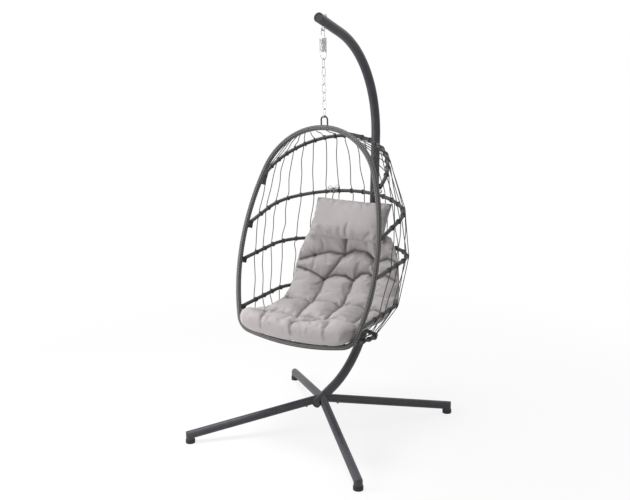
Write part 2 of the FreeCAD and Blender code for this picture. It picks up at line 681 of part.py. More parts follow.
def hoop_wire(behind=0):
    """Closed centre line of the hoop."""
    right = [arc_on_hoop(c, r, p, q, 1, behind) for c, r, p, q in hoop_outline()]
    left = [arc_on_hoop(c, r, q, p, -1, behind) for c, r, p, q in reversed(hoop_outline())]
    return Part.Wire(right + left)


hoop_radius = size("hoop_wicker") / 2
steel_radius = size("hoop_tube") / 2
hoop_line = hoop_wire()
hoop_solid = pipe(hoop_line, hoop_radius)
hoop_steel = pipe(hoop_line, steel_radius)
keep("hoop_tube", hoop_steel.cut(pipe(hoop_line, steel_radius - size("hoop_tube_wall"))))
keep("hoop_wicker", hoop_solid.cut(pipe(hoop_line, steel_radius + gap)))

# Loop on the crown, from which the basket hangs
loop_side = X * size("loop_radius")
loop_bow = Vector(crown.x, crown.y, loop_z - size("loop_radius"))
loop_foot = Vector(crown.x, crown.y, crown.z)
loop_wire = Part.Wire([
    Part.LineSegment(loop_foot + loop_side, loop_bow + loop_side).toShape(),
    Part.Arc(loop_bow + loop_side, loop_bow + Z * size("loop_radius"), loop_bow - loop_side).toShape(),
    Part.LineSegment(loop_bow - loop_side, loop_foot - loop_side).toShape()])
keep("hanging_loop", pipe(loop_wire, size("loop_rod") / 2).cut(pipe(hoop_line, hoop_radius + gap)))


# Ribs: U-shaped bars behind the hoop, with straight sides and a bowed rear
class Rib:
    """Sizes and places of one rib, read from the sheet."""

    def __init__(self, name, drop):
        self.name = name
        self.drop = drop
        self.slope = size("rib_%s_slope" % name)
        self.depth = size("rib_%s_depth" % name)
        self.corner = size("rib_%s_corner" % name)
        self.rear = size("rib_%s_rear" % name)
        self.half_width = hoop_half_width(drop)
        pitch_angle = math.radians(self.slope)
        self.back = Vector(0, math.cos(pitch_angle), math.sin(pitch_angle))
        oblique = abs(pitch_angle + lean)
        radius = size("rib_wicker") / 2
        clear = hoop_radius + 2 * gap + size("rib_plug") * math.cos(oblique) + radius * math.sin(oblique)
        self.start = clear / math.cos(oblique)
        self.seat = on_hoop(0, self.drop)

    def at(self, across, behind):
        """Point of the rib's plane: across it and behind the hoop's middle."""
        return self.seat + X * across + self.back * behind

    def on_rear(self, across):
        """Point of the rear bend at a distance from the middle, and the rib's direction there."""
        deep = math.sqrt(self.rear ** 2 - across ** 2)
        along = X * deep - self.back * across
        return self.at(across, self.depth - self.rear + deep), along.normalize()

    def wire(self):
        """Centre line: two straight sides, two corner bends and the bowed rear."""
        wide, corner_r, rear_r = self.half_width, self.corner, self.rear
        # The corner's arc touches the side and the rear arc
        corner_x = wide - corner_r
        rear_y = self.depth - rear_r
        corner_y = rear_y + math.sqrt((rear_r - corner_r) ** 2 - corner_x ** 2)
        turn = math.atan2(corner_y - rear_y, corner_x)
        touch = (rear_r * math.cos(turn), rear_y + rear_r * math.sin(turn))
        through = (corner_x + corner_r * math.cos(turn / 2), corner_y + corner_r * math.sin(turn / 2))
        left = [(-wide, self.start), (-wide, corner_y), (-through[0], through[1]), (-touch[0], touch[1])]
        right = [(-x, y) for x, y in reversed(left)]
        a, b, c, d, e, f, g, h = [self.at(*point) for point in left + right]
        return Part.Wire([Part.LineSegment(a, b).toShape(), Part.Arc(b, c, d).toShape(),
                          Part.Arc(d, self.at(0, self.depth), e).toShape(),
                          Part.Arc(e, f, g).toShape(), Part.LineSegment(g, h).toShape()])


rib_radius = size("rib_wicker") / 2
bar_radius = size("rib_bar") / 2
hoop_height = size("hoop_height")
ribs = [Rib("one", size("rib_one_drop")), Rib("two", size("rib_two_drop")),
        Rib("three", hoop_height - size("rib_three_rise")), Rib("four", hoop_height - size("rib_four_rise")),
        Rib("five", hoop_height - size("rib_five_rise"))]
hoop_clear = pipe(hoop_line, hoop_radius + gap)
lug_face = rib_radius + gap
lug_thickness = size("lug_thickness")
pin_reach = lug_face + lug_thickness + size("rib_bolt_overrun")
lugs = []
rib_bolts = []
plugs = []
for rib in ribs:
    line = rib.wire()
    holes = []
    for side in (-1, 1):
        end = rib.at(side * rib.half_width, rib.start)
        pin = rib.at(side * rib.half_width, rib.start + size("rib_bolt_inset"))
        inward = X * -side
        holes.append(rod(pin - inward * pin_reach, pin + inward * pin_reach, size("rib_bolt") / 2 + gap))
        rib_bolts.append(bolt(pin - inward * lug_face, inward, size("rib_bolt"), lug_face + pin_reach,
                              size("rib_bolt_head"), size("rib_bolt_head_height")))
        plugs.append(Part.makeCylinder(rib_radius, size("rib_plug"), end - rib.back * gap, rib.back * -1))
        # The lug stands on the hoop's back, inside the rib, and reaches past the bolt
        inner_face = rib.half_width - lug_face - lug_thickness
        foot = on_hoop(side * inner_face - (0 if side > 0 else lug_thickness), rib.drop)
        deep = (pin - foot).dot(hoop_back) + size("lug_height") / 2
        lift = (pin - foot).dot(hoop_up)
        plate = Part.makeBox(lug_thickness, deep, size("lug_height") + abs(lift),
                             Vector(0, 0, min(lift, 0) - size("lug_height") / 2))
        plate.Placement = Placement(foot, Rotation(X, -size("hoop_lean")))
        lugs.append(plate.cut([hoop_clear, holes[-1]]))
    keep("rib_%s_bar" % rib.name, pipe(line, bar_radius).cut(holes))
    keep("rib_%s_wicker" % rib.name, pipe(line, rib_radius).cut([pipe(line, bar_radius + gap)] + holes))
keep("rib_lugs", Part.makeCompound(lugs))
keep("rib_bolts", Part.makeCompound(rib_bolts))
keep("rib_end_plugs", Part.makeCompound(plugs))


# Cords: each runs from the hoop's crown over the ribs. Those of the sides are tied to the
# lowest rib, and those of the rear go on under the seat to the hoop's lower rail.
def rounded(points, radius):
    """Straight runs joined by arcs of one radius."""
    edges = []
    at = points[0]
    for index in range(1, len(points) - 1):
        here = points[index]
        come = (here - points[index - 1]).normalize()
        leave = (points[index + 1] - here).normalize()
        half_turn = come.getAngle(leave) / 2
        cut_back = radius * math.tan(half_turn)
        start = here - come * cut_back
        end = here + leave * cut_back
        bow = (start + end) * 0.5
        inward = (bow - here).normalize()
        middle = here + inward * (radius / math.cos(half_turn) - radius)
        edges.append(Part.LineSegment(at, start).toShape())
        edges.append(Part.Arc(start, middle, end).toShape())
        at = end
    edges.append(Part.LineSegment(at, points[-1]).toShape())
    return Part.Wire(edges)


cord_radius = size("cord_diameter") / 2
wrap_radius = rib_radius + cord_radius + gap
cord_count = int(size("cord_count"))
cord_end_share = size("cord_end_share")
back_line = hoop_wire(hoop_radius + cord_radius + 2 * gap)
rib_lines = [rib.wire() for rib in ribs]
OUTWARD_BIAS = 0.15
SETTLE_ROUNDS = 2
MOST_STEPS = 30


def way_out(before, here, along, rib, after):
    """Direction in which a cord's corner lies from the rib that it bends round."""
    outward = along.cross(rib.back.cross(X))
    if outward.dot(here - rib.seat) < 0:
        outward = outward * -1
    away = (here - before).normalize() - (after - here).normalize() + outward * OUTWARD_BIAS
    return (away - along * away.dot(along)).normalize()


def cleared(before, corner_point, after, away, line):
    """Corner of a cord's route, moved out until its bend clears the rib."""
    for step in range(MOST_STEPS):
        bend = rounded([before, corner_point, after], wrap_radius)
        if bend.distToShape(line)[0] > wrap_radius:
            break
        corner_point = corner_point + away * gap
    return corner_point


def cord_route(place):
    """Route of the cord at a place from 0, left, to 1, right, and the name of its group."""
    sideways = place - 0.5
    tied_low = abs(sideways) > 0.5 - size("cord_side_share")
    share = cord_end_share + (1 - 2 * cord_end_share) * place
    top = along_wire(back_line, sideways * size("cord_crown_share"))[0]
    low = along_wire(back_line, 0.5 - sideways * size("cord_rail_share"))[0]
    crossings = [along_wire(line, share) for line in rib_lines]
    stops = [top] + [here for here, along in crossings] + [low]
    ways = [way_out(stops[n], here, along, ribs[n], stops[n + 2]) for n, (here, along) in enumerate(crossings)]
    route = [top] + [here + away * wrap_radius for (here, along), away in zip(crossings, ways)] + [low]
    for settle in range(SETTLE_ROUNDS):
        for n in range(1, len(ribs) if tied_low else len(ribs) + 1):
            route[n] = cleared(route[n - 1], route[n], route[n + 1], ways[n - 1], rib_lines[n - 1])
    if not tied_low:
        return route, "cords_rear"
    lowest, along = crossings[-1]
    come = route[-3] - lowest
    come = (come - along * come.dot(along)).normalize()
    return route[:-2] + [lowest + come * (rib_radius + gap)], "cords_left" if sideways < 0 else "cords_right"


cord_groups = {"cords_left": [], "cords_rear": [], "cords_right": []}
for number in range(cord_count):
    route, group = cord_route((number + 0.5) / cord_count)
    cord_groups[group].append(pipe(rounded(route, wrap_radius), cord_radius))
for label, solids in cord_groups.items():
    keep(label, Part.makeCompound(solids))


# Cushions. Each section is a crowned strip across the chair, with rounded sides.
EDGE_SHARE = 0.28
EDGE_ROUND = 0.8


def bow(start, through, end):
    """Arc through three points, or the straight edge where they lie in line."""
    if (through - start).cross(end - through).Length < 1e-6:
        return Part.LineSegment(start, end).toShape()
    return Part.Arc(start, through, end).toShape()


def crowned(middle, out, half_width, thickness, curl):
    """Closed wire of four arcs about a middle point; out points to the seated side."""
    edge = thickness * EDGE_SHARE
    inner = half_width - edge * EDGE_ROUND

    def at(across, height):
        return middle + X * across + out * height
    return Part.Wire([
        bow(at(-inner, curl + edge), at(0, thickness / 2), at(inner, curl + edge)),
        bow(at(inner, curl + edge), at(half_width, curl), at(inner, curl - edge)),
        bow(at(inner, curl - edge), at(0, -thickness / 2), at(-inner, curl - edge)),
        bow(at(-inner, curl - edge), at(-half_width, curl), at(-inner, curl + edge))])


# Headrest pillow: sections across its height, thin at both ends of its width
pillow_centre = Vector(crown.x, hang.y + size("pillow_behind"), crown.z - size("pillow_drop"))
pillow_up = heading(90 - size("pillow_lean"))
pillow_front = pillow_up.cross(X)
if pillow_front.y > 0:
    pillow_front = pillow_front * -1


# Share of the half width, of the thickness and of the height of each section
PILLOW_SECTIONS = [(-1, 0.16, 1), (-0.93, 0.5, 0.985), (-0.6, 0.88, 0.955), (0, 1, 0.94),
                   (0.6, 0.88, 0.955), (0.93, 0.5, 0.985), (1, 0.16, 1)]
PILLOW_LIP = 8


def pillow_solid(extra=0):
    """Crowned pillow whose sides draw in between its four corners."""
    half = size("pillow_width") / 2
    wires = []
    for across, thick, tall in PILLOW_SECTIONS:
        middle = pillow_centre + X * (across * (half + extra))
        depth = thick * size("pillow_thickness") / 2 + extra
        reach = tall * size("pillow_height") / 2 + extra
        lip = min(depth * 0.35, PILLOW_LIP)

        def at(height, out):
            return middle + pillow_up * height + pillow_front * out
        inner = reach - lip * 0.7
        wires.append(Part.Wire([
            Part.Arc(at(-inner, lip), at(0, depth), at(inner, lip)).toShape(),
            Part.Arc(at(inner, lip), at(reach, 0), at(inner, -lip)).toShape(),
            Part.Arc(at(inner, -lip), at(0, -depth), at(-inner, -lip)).toShape(),
            Part.Arc(at(-inner, -lip), at(-reach, 0), at(-inner, lip)).toShape()]))
    return Part.makeLoft(wires, True)


keep("headrest_pillow", pillow_solid())

# Seat cushion: its middle line runs level over the lower rail and bends up behind rib three
rail = on_hoop(0, hoop_height)
seat_level = rail.z + hoop_radius + gap + size("cushion_thickness") / 2
lean_way = heading(90 - size("cushion_lean"))
rib_three = ribs[2].at(0, ribs[2].depth)
leaning = rib_three - Vector(0, 1, 0) * (rib_radius + gap + size("cushion_thickness") / 2 / lean_way.z)
corner_y = leaning.y - (leaning.z - seat_level) * lean_way.y / lean_way.z
bend_turn = 90 - size("cushion_lean")
bend_reach = size("cushion_bend") * math.tan(math.radians(bend_turn) / 2)
seat_start = rail.y - size("cushion_front") + size("cushion_front_roll")
seat_run = corner_y - bend_reach - seat_start
middle_line = SidePath(Vector(crown.x, seat_start, seat_level), 0)
middle_line.run(seat_run)
middle_line.bend(size("cushion_bend"), bend_turn)
middle_line.run(size("cushion_back_run"))
bend_length = math.radians(bend_turn) * size("cushion_bend")


def on_cushion(distance):
    """Point of the middle line and the direction to the seated side."""
    if distance <= seat_run:
        angle = 0
        point = Vector(crown.x, seat_start + distance, seat_level)
    elif distance <= seat_run + bend_length:
        angle = math.degrees((distance - seat_run) / size("cushion_bend"))
        centre = Vector(crown.x, seat_start + seat_run, seat_level + size("cushion_bend"))
        point = centre + heading(angle - 90) * size("cushion_bend")
    else:
        angle = bend_turn
        from_top = seat_run + bend_length + size("cushion_back_run") - distance
        point = middle_line.point - heading(angle) * from_top
    return point, heading(angle + 90)


full = size("cushion_thickness")
sewn = size("cushion_channel")
front_wide = size("cushion_half_width")
seat_wide = size("cushion_seat_half_width")
bend_wide = size("cushion_bend_half_width")
top_wide = size("cushion_top_half_width")
draw = size("cushion_draw")
corner_cut = size("cushion_corner")
lip = size("cushion_lip")
front_curl = size("cushion_front_curl")
curl = size("cushion_curl")
front = -size("cushion_front_roll")
end = seat_run + bend_length + size("cushion_back_run")

# Sewn rows, as distances along the middle line, and the crests between them
rows = [seat_run * 0.42, seat_run + bend_length * 0.35, seat_run + bend_length * 1.02,
        end - size("cushion_back_run") * 0.55]
crests = [(one + other) / 2 for one, other in zip(rows, rows[1:] + [end])]

# Sections: distance along the middle line, half width, thickness and how far the sides come forward
SECTIONS = [
    (front, front_wide - corner_cut, full * 0.5, front_curl),
    (front + lip, front_wide - corner_cut * 0.35, full * 0.84, front_curl),
    (front / 2, front_wide, full, front_curl),
    (0, front_wide, full, front_curl * 0.8),
    (rows[0], seat_wide - draw, sewn, front_curl * 0.3),
    (crests[0], seat_wide, full * 0.94, curl * 0.12),
    (rows[1], seat_wide - draw, sewn * 0.94, curl * 0.25),
    (crests[1], bend_wide, full * 0.88, curl * 0.5),
    (rows[2], bend_wide - draw, sewn, curl * 0.8),
    (crests[2], bend_wide, full, curl),
    (rows[3], bend_wide - draw * 2, sewn, curl),
    (crests[3], top_wide, full * 0.9, curl * 0.9),
    (end - lip, top_wide - corner_cut * 0.35, full * 0.66, curl * 0.7),
    (end, top_wide - corner_cut, full * 0.4, curl * 0.6),
]
sections = []
for distance, half_width, thickness, forward in SECTIONS:
    middle, out = on_cushion(distance)
    sections.append(crowned(middle, out, half_width, thickness, forward))
cushion = Part.makeLoft(sections, True)

# Tufts: dimples in each sewn row, set half a space aside in every other row
dimples = []
row_sections = [section for section in SECTIONS if section[0] in rows]
for row, (distance, half_width, thickness, forward) in enumerate(row_sections):
    middle, out = on_cushion(distance)
    for place in range(-2, 3):
        across = (place + 0.5 * ((row + 1) % 2)) * size("tuft_spacing")
        if abs(across) > half_width - size("tuft_margin"):
            continue
        rise = forward + thickness * (EDGE_SHARE - 0.5)
        surface = thickness / 2 + rise * (across / half_width) ** 2
        lift = surface - size("tuft_depth") + size("tuft_radius")
        dimples.append(Part.makeSphere(size("tuft_radius"), middle + X * across + out * lift))
rib_clear = [pipe(line, rib_radius + gap) for line in rib_lines]
keep("seat_cushion", cushion.cut([hoop_clear, pillow_solid(gap)] + rib_clear + dimples + lugs + rib_bolts))

# Ties of the pillow: each goes round rib two and forward to the pillow's top seam
tie_radius = size("tie_cord") / 2
tie_round = rib_radius + tie_radius + gap
pillow_clear = pillow_solid(gap)
ties = []
for side in (-1, 1):
    goal = side * size("tie_place")
    crossing, along = ribs[1].on_rear(goal)
    seam = pillow_centre + X * goal + pillow_up * (size("pillow_height") / 2 * 0.96)
    towards = seam - crossing
    towards = (towards - along * towards.dot(along)).normalize()
    strand = rod(crossing + towards * tie_round, seam, tie_radius)
    ties.append(Part.makeTorus(tie_round, tie_radius, crossing, along).fuse(strand).cut(pillow_clear))
keep("pillow_ties", Part.makeCompound(ties))

doc.recompute()
os.makedirs("parts", exist_ok=True)
for piece in doc.Objects:
    if "Invalid" in piece.State or "Error" in piece.State:
        raise ValueError("%s did not rebuild" % piece.Label)
for piece in parts:
    if piece.Shape.isNull() or not piece.Shape.isValid():
        raise ValueError("%s is not a sound solid" % piece.Label)
for piece in parts:
    piece.Shape.exportStep("parts/%s.step" % piece.Label)
    print("%-22s %9.1f cm3  %d" % (piece.Label, piece.Shape.Volume / 1000, len(piece.Shape.Solids)))
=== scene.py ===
"""Dresses the hanging egg chair: painted stand, zinc hanger, wound basket and quilted cushions."""
import json
import logging
import math
import random
from collections.abc import Callable, Sequence
from dataclasses import dataclass, field
from enum import Enum

import bpy
import numpy as np
from mathutils import Matrix, Vector


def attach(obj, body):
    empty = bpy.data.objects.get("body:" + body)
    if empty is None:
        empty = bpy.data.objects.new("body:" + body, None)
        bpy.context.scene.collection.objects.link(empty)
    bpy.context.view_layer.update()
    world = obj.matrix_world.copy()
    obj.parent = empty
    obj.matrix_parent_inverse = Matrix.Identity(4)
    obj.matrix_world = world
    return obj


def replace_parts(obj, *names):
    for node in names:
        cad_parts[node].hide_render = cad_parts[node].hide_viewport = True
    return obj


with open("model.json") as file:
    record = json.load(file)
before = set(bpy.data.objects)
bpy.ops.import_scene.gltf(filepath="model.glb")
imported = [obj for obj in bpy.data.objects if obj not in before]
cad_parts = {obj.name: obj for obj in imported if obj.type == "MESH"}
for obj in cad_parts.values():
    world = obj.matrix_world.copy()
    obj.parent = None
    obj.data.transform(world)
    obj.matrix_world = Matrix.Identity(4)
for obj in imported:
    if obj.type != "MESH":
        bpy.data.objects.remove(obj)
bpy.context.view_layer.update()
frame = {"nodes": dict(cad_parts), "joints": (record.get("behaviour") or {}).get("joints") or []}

MM = 0.001
LOG = logging.getLogger("egg_chair")

Colour = tuple[float, float, float]
Place = tuple[float, float, float]
Spot = tuple[float, float]
Points = np.ndarray


class Side(Enum):
    """Side of the chair, seen from the front."""

    LEFT = -1
    RIGHT = 1


class Body(str, Enum):
    """Bodies of the frame on which the pieces ride."""

    STAND = "stand"
    BASKET = "basket"


class NodeSheet:
    """One material, whose nodes are laid out from left to right as they are added."""

    def __init__(self, name: str) -> None:
        """Starts a material with a principled shader.

        Args:
            name: Name of the material.
        """
        self.material = bpy.data.materials.new(name)
        self.material.use_nodes = True
        self.tree = self.material.node_tree
        self.shader = self.tree.nodes["Principled BSDF"]
        self.column = 0

    def add(self, kind: str, sockets: dict[str | int, object] | None = None,
            **settings: object) -> bpy.types.Node:
        """Adds a node.

        Args:
            kind: Node type without its ShaderNode prefix.
            sockets: Values or output sockets for its inputs, by name or number.
            **settings: Properties of the node itself.

        Returns:
            The new node.
        """
        node = self.tree.nodes.new("ShaderNode" + kind)
        self.column += 1
        node.location = (-1600 + 90 * self.column, -60 * (self.column % 5))
        for name, value in settings.items():
            setattr(node, name, value)
        for name, value in (sockets or {}).items():
            self.feed(node.inputs[name], value)
        return node

    def feed(self, socket: bpy.types.NodeSocket, value: object) -> None:
        """Sets an input to a constant or links an output to it.

        Args:
            socket: The input.
            value: A number, a colour or an output.
        """
        if isinstance(value, bpy.types.NodeSocket):
            self.tree.links.new(value, socket)
        elif isinstance(value, tuple) and len(value) == 3 and socket.type == "RGBA":
            socket.default_value = (*value, 1.0)
        else:
            socket.default_value = value

    def set(self, **sockets: object) -> None:
        """Sets the shader's inputs; an underscore stands for a space."""
        for name, value in sockets.items():
            self.feed(self.shader.inputs[name.replace("_", " ")], value)

    def place(self) -> bpy.types.NodeSocket:
        """Object coordinates, in metres."""
        return self.add("TexCoord").outputs["Object"]

    def noise(self, size: float, detail: float = 3.0, rough: float = 0.5,
              at: bpy.types.NodeSocket | None = None) -> bpy.types.NodeSocket:
        """Noise whose lumps are about one size across.

        Args:
            size: Size of a lump in metres.
            detail: Octaves of finer lumps.
            rough: Strength of the finer lumps.
            at: Coordinates, or the object's own.

        Returns:
            The noise factor.
        """
        sockets = {"Vector": at or self.place(), "Scale": 1.0 / size, "Detail": detail, "Roughness": rough}
        return self.add("TexNoise", sockets).outputs[0]

    def blend(self, factor: bpy.types.NodeSocket, low: Colour, high: Colour, start: float = 0.3,
              end: float = 0.7) -> bpy.types.NodeSocket:
        """Ramp between two colours.

        Args:
            factor: What drives the ramp.
            low: Colour at and below start.
            high: Colour at and above end.
            start: Factor at which the first colour ends.
            end: Factor at which the second colour begins.

        Returns:
            The colour.
        """
        ramp = self.add("ValToRGB", {"Fac": factor})
        ramp.color_ramp.elements[0].position = start
        ramp.color_ramp.elements[0].color = (*low, 1.0)
        ramp.color_ramp.elements[1].position = end
        ramp.color_ramp.elements[1].color = (*high, 1.0)
        return ramp.outputs["Color"]

    def span(self, factor: bpy.types.NodeSocket, low: float, high: float) -> bpy.types.NodeSocket:
        """Maps a factor from 0 and 1 onto two values."""
        return self.add("MapRange", {"Value": factor, "To Min": low, "To Max": high}).outputs[0]

    def sum(self, operation: str, first: object, second: object) -> bpy.types.NodeSocket:
        """Result of a two-value operation, such as MULTIPLY."""
        return self.add("Math", {0: first, 1: second}, operation=operation).outputs[0]

    def sine(self, phase: bpy.types.NodeSocket) -> bpy.types.NodeSocket:
        """Sine of a phase."""
        return self.add("Math", {0: phase}, operation="SINE").outputs[0]

    def bump(self, height: bpy.types.NodeSocket, depth: float,
             under: bpy.types.NodeSocket | None = None) -> bpy.types.NodeSocket:
        """Bump, laid over another where one is given.

        Args:
            height: What raises the surface, from 0 to 1.
            depth: How far it raises it, in metres.
            under: The bump that it lies over.

        Returns:
            The normal.
        """
        sockets = {"Height": height, "Distance": depth, "Strength": 1.0}
        if under is not None:
            sockets["Normal"] = under
        return self.add("Bump", sockets).outputs[0]


@dataclass(frozen=True)
class PowderCoat:
    """Baked powder paint on steel: fine orange peel, a little dust and a few rubbed places."""

    name: str
    colour: Colour
    slot: str
    roughness: float = 0.46
    peel: float = 0.9 * MM
    peel_depth: float = 0.05 * MM

    def material(self) -> bpy.types.Material:
        """Builds the paint.

        Returns:
            The material.
        """
        sheet = NodeSheet(self.name)
        patches = sheet.noise(60 * MM, 4.0)
        darker = tuple(0.86 * c for c in self.colour)
        lighter = tuple(1.16 * c + 0.002 for c in self.colour)
        rough = sheet.span(sheet.noise(14 * MM, 5.0, 0.6), self.roughness - 0.07, self.roughness + 0.1)
        sheet.set(Base_Color=sheet.blend(patches, darker, lighter), Roughness=rough,
                  Normal=sheet.bump(sheet.noise(self.peel, 2.0), self.peel_depth), Coat_Weight=0.06,
                  Coat_Roughness=0.3, Specular_IOR_Level=0.32)
        return sheet.material


@dataclass(frozen=True)
class Moulding:
    """Moulded rubber or plastic with a fine eroded grain."""

    name: str
    colour: Colour
    slot: str
    roughness: float = 0.6
    grain: float = 0.7 * MM

    def material(self) -> bpy.types.Material:
        """Builds the moulding.

        Returns:
            The material.
        """
        sheet = NodeSheet(self.name)
        lighter = tuple(1.5 * c + 0.003 for c in self.colour)
        rough = sheet.span(sheet.noise(9 * MM), self.roughness - 0.08, self.roughness + 0.12)
        sheet.set(Base_Color=sheet.blend(sheet.noise(25 * MM, 5.0), self.colour, lighter), Roughness=rough,
                  Normal=sheet.bump(sheet.noise(self.grain, 2.0), 0.06 * MM))
        return sheet.material


@dataclass(frozen=True)
class ZincPlate:
    """Bright zinc over drawn wire, with faint cloudy spots."""

    name: str
    colour: Colour
    slot: str
    roughness: float = 0.3

    def material(self) -> bpy.types.Material:
        """Builds the plating.

        Returns:
            The material.
        """
        sheet = NodeSheet(self.name)
        cloud = sheet.noise(7 * MM, 5.0, 0.6)
        duller = tuple(0.8 * c for c in self.colour)
        rough = sheet.span(sheet.noise(3 * MM, 4.0), self.roughness - 0.08, self.roughness + 0.14)
        sheet.set(Base_Color=sheet.blend(cloud, duller, self.colour), Metallic=0.9, Roughness=rough,
                  Normal=sheet.bump(sheet.noise(0.8 * MM, 2.0), 0.02 * MM))
        return sheet.material


@dataclass(frozen=True)
class Wicker:
    """Extruded plastic strand: fine lengthwise drawing lines, a soft sheen, a tone for each strand, and
    painted shade in the gaps between strands.
    """

    name: str
    colour: Colour
    slot: str
    shade: Colour
    drawn: Place = (60.0, 1600.0, 1.0)

    def material(self) -> bpy.types.Material:
        """Builds the strand's plastic; the relief attribute paints shade into the gaps between strands.

        Returns:
            The material.
        """
        sheet = NodeSheet(self.name)
        relief = sheet.add("Attribute", attribute_name="relief").outputs["Fac"]
        tone = sheet.noise(11 * MM, 3.0, 0.6)
        lighter = tuple(1.18 * c + 0.004 for c in self.colour)
        plastic = sheet.blend(tone, self.colour, lighter, 0.35, 0.65)
        # Painted shade: where the relief is low, between the strands, the colour goes to the near black shade
        # colour.
        seam = sheet.add("MapRange", {"Value": relief, "From Min": 0.3, "From Max": 0.85}).outputs[0]
        colour = sheet.add("MixRGB", {"Fac": seam, "Color1": self.shade, "Color2": plastic}).outputs[0]
        strand = sheet.add("UVMap").outputs[0]
        lines = sheet.add("Mapping", {"Vector": strand, "Scale": self.drawn}).outputs[0]
        drawing = sheet.add("TexNoise", {"Vector": lines, "Scale": 1.0, "Detail": 2.0}).outputs[0]
        sheet.set(Base_Color=colour, Roughness=sheet.span(drawing, 0.4, 0.62),
                  Normal=sheet.bump(drawing, 0.05 * MM), Sheen_Weight=0.05)
        return sheet.material


@dataclass(frozen=True)
class BraidedCord:
    """Braided polyester cord: two sets of strands crossing at a slant."""

    name: str
    colour: Colour
    slot: str
    pick: float = 1.6 * MM

    def material(self) -> bpy.types.Material:
        """Builds the braid from the cord's own length and girth, with painted shade in its hollows and
        painted light on its crests.

        Returns:
            The material.
        """
        sheet = NodeSheet(self.name)
        girth = sheet.add("SeparateXYZ", {"Vector": sheet.add("UVMap").outputs[0]})
        step = math.tau / self.pick
        along = sheet.sum("MULTIPLY", girth.outputs[0], step)
        around = sheet.sum("MULTIPLY", girth.outputs[1], step)
        one = sheet.sine(sheet.sum("ADD", along, around))
        other = sheet.sine(sheet.sum("SUBTRACT", along, around))
        weave = sheet.sum("MULTIPLY", one, other)
        height = sheet.span(sheet.sum("ADD", sheet.sum("MULTIPLY", weave, 0.5), 0.5), 0.0, 1.0)
        fuzz = sheet.noise(0.5 * MM, 2.0)
        # Painted shade and light: the colour darkens in the braid's hollows and brightens on its crests.
        darker = tuple(0.62 * c for c in self.colour)
        lighter = tuple(1.25 * c for c in self.colour)
        colour = sheet.blend(height, darker, lighter, 0.1, 0.9)
        sheet.set(Base_Color=colour, Roughness=sheet.span(fuzz, 0.7, 0.9), Sheen_Weight=0.2,
                  Normal=sheet.bump(height, 0.18 * MM, sheet.bump(fuzz, 0.05 * MM)))
        return sheet.material


@dataclass(frozen=True)
class WovenCloth:
    """Plain woven outdoor cloth with a soft melange, a slight nap and painted shade in its folds."""

    name: str
    colour: Colour
    slot: str
    thread: float = 0.9 * MM

    def material(self) -> bpy.types.Material:
        """Builds the weave from the cloth's own warp and weft, in metres, and paints shade into the folds
        from a point attribute.

        Returns:
            The material.
        """
        sheet = NodeSheet(self.name)
        cloth = sheet.add("UVMap").outputs[0]
        warp = sheet.add("SeparateXYZ", {"Vector": cloth})
        step = math.pi / self.thread
        across = sheet.sine(sheet.sum("MULTIPLY", warp.outputs[0], step))
        down = sheet.sine(sheet.sum("MULTIPLY", warp.outputs[1], step))
        weave = sheet.sum("MULTIPLY", across, down)
        thread_noise = sheet.noise(1.1 * MM, 2.0, 0.6, cloth)
        melange = sheet.noise(3.2 * MM, 4.0, 0.7, cloth)
        wash = sheet.noise(90 * MM, 3.0)
        darker = tuple(0.9 * c for c in self.colour)
        lighter = tuple(min(1.0, 1.07 * c) for c in self.colour)
        # Painted shade: the cloth's colour darkens to a fifth of itself in the folds and round the tufts.
        fold_shade_colour = tuple(0.2 * c for c in self.colour)
        fold_shade = sheet.add("Attribute", attribute_name="fold_shade").outputs["Fac"]
        mixed = sheet.sum("ADD", sheet.sum("MULTIPLY", melange, 0.7), sheet.sum("MULTIPLY", wash, 0.3))
        height = sheet.sum("ADD", sheet.sum("MULTIPLY", weave, 0.35), thread_noise)
        crush = sheet.noise(24 * MM, 6.0, 0.66)
        fine = sheet.bump(height, 0.16 * MM, sheet.bump(crush, 2.6 * MM))
        cloth_colour = sheet.blend(mixed, darker, lighter)
        colour = sheet.add("MixRGB", {"Fac": fold_shade, "Color1": cloth_colour, "Color2": fold_shade_colour}).outputs[0]
        sheet.set(Base_Color=colour, Roughness=0.92, Normal=fine, Sheen_Weight=0.2, Sheen_Roughness=0.5)
        return sheet.material


Finish = PowderCoat | Moulding | ZincPlate | Wicker | BraidedCord | WovenCloth

STAND_PAINT = PowderCoat("stand_paint", (0.046, 0.046, 0.054), "stand_paint")
FRAME_PAINT = PowderCoat("frame_paint", (0.03, 0.03, 0.032), "frame_paint")
LOOP_PAINT = PowderCoat("loop_paint", (0.05, 0.05, 0.052), "loop_paint")
RUBBER = Moulding("foot_rubber", (0.012, 0.012, 0.013), "foot_rubber", 0.7)
PLASTIC = Moulding("black_plastic", (0.01, 0.01, 0.011), "black_plastic", 0.45)
BOLT_STEEL = PowderCoat("bolt_steel", (0.035, 0.035, 0.038), "bolt_steel", 0.35)
ZINC = ZincPlate("zinc", (0.58, 0.6, 0.58), "zinc")
# The last colour of each wicker is the painted shade of the gaps between its strands.
HOOP_WICKER = Wicker("hoop_wicker", (0.125, 0.117, 0.115), "hoop_wicker", (0.014, 0.013, 0.013))
RIB_WICKER = Wicker("rib_wicker", (0.045, 0.047, 0.047), "rib_wicker", (0.012, 0.012, 0.012))
BASKET_CORD = BraidedCord("basket_cord", (0.042, 0.042, 0.043), "basket_cord")
TIE_CORD = BraidedCord("tie_cord", (0.3, 0.28, 0.28), "tie_cord")
CLOTH = WovenCloth("cushion_fabric", (0.405, 0.375, 0.375), "cushion_fabric")


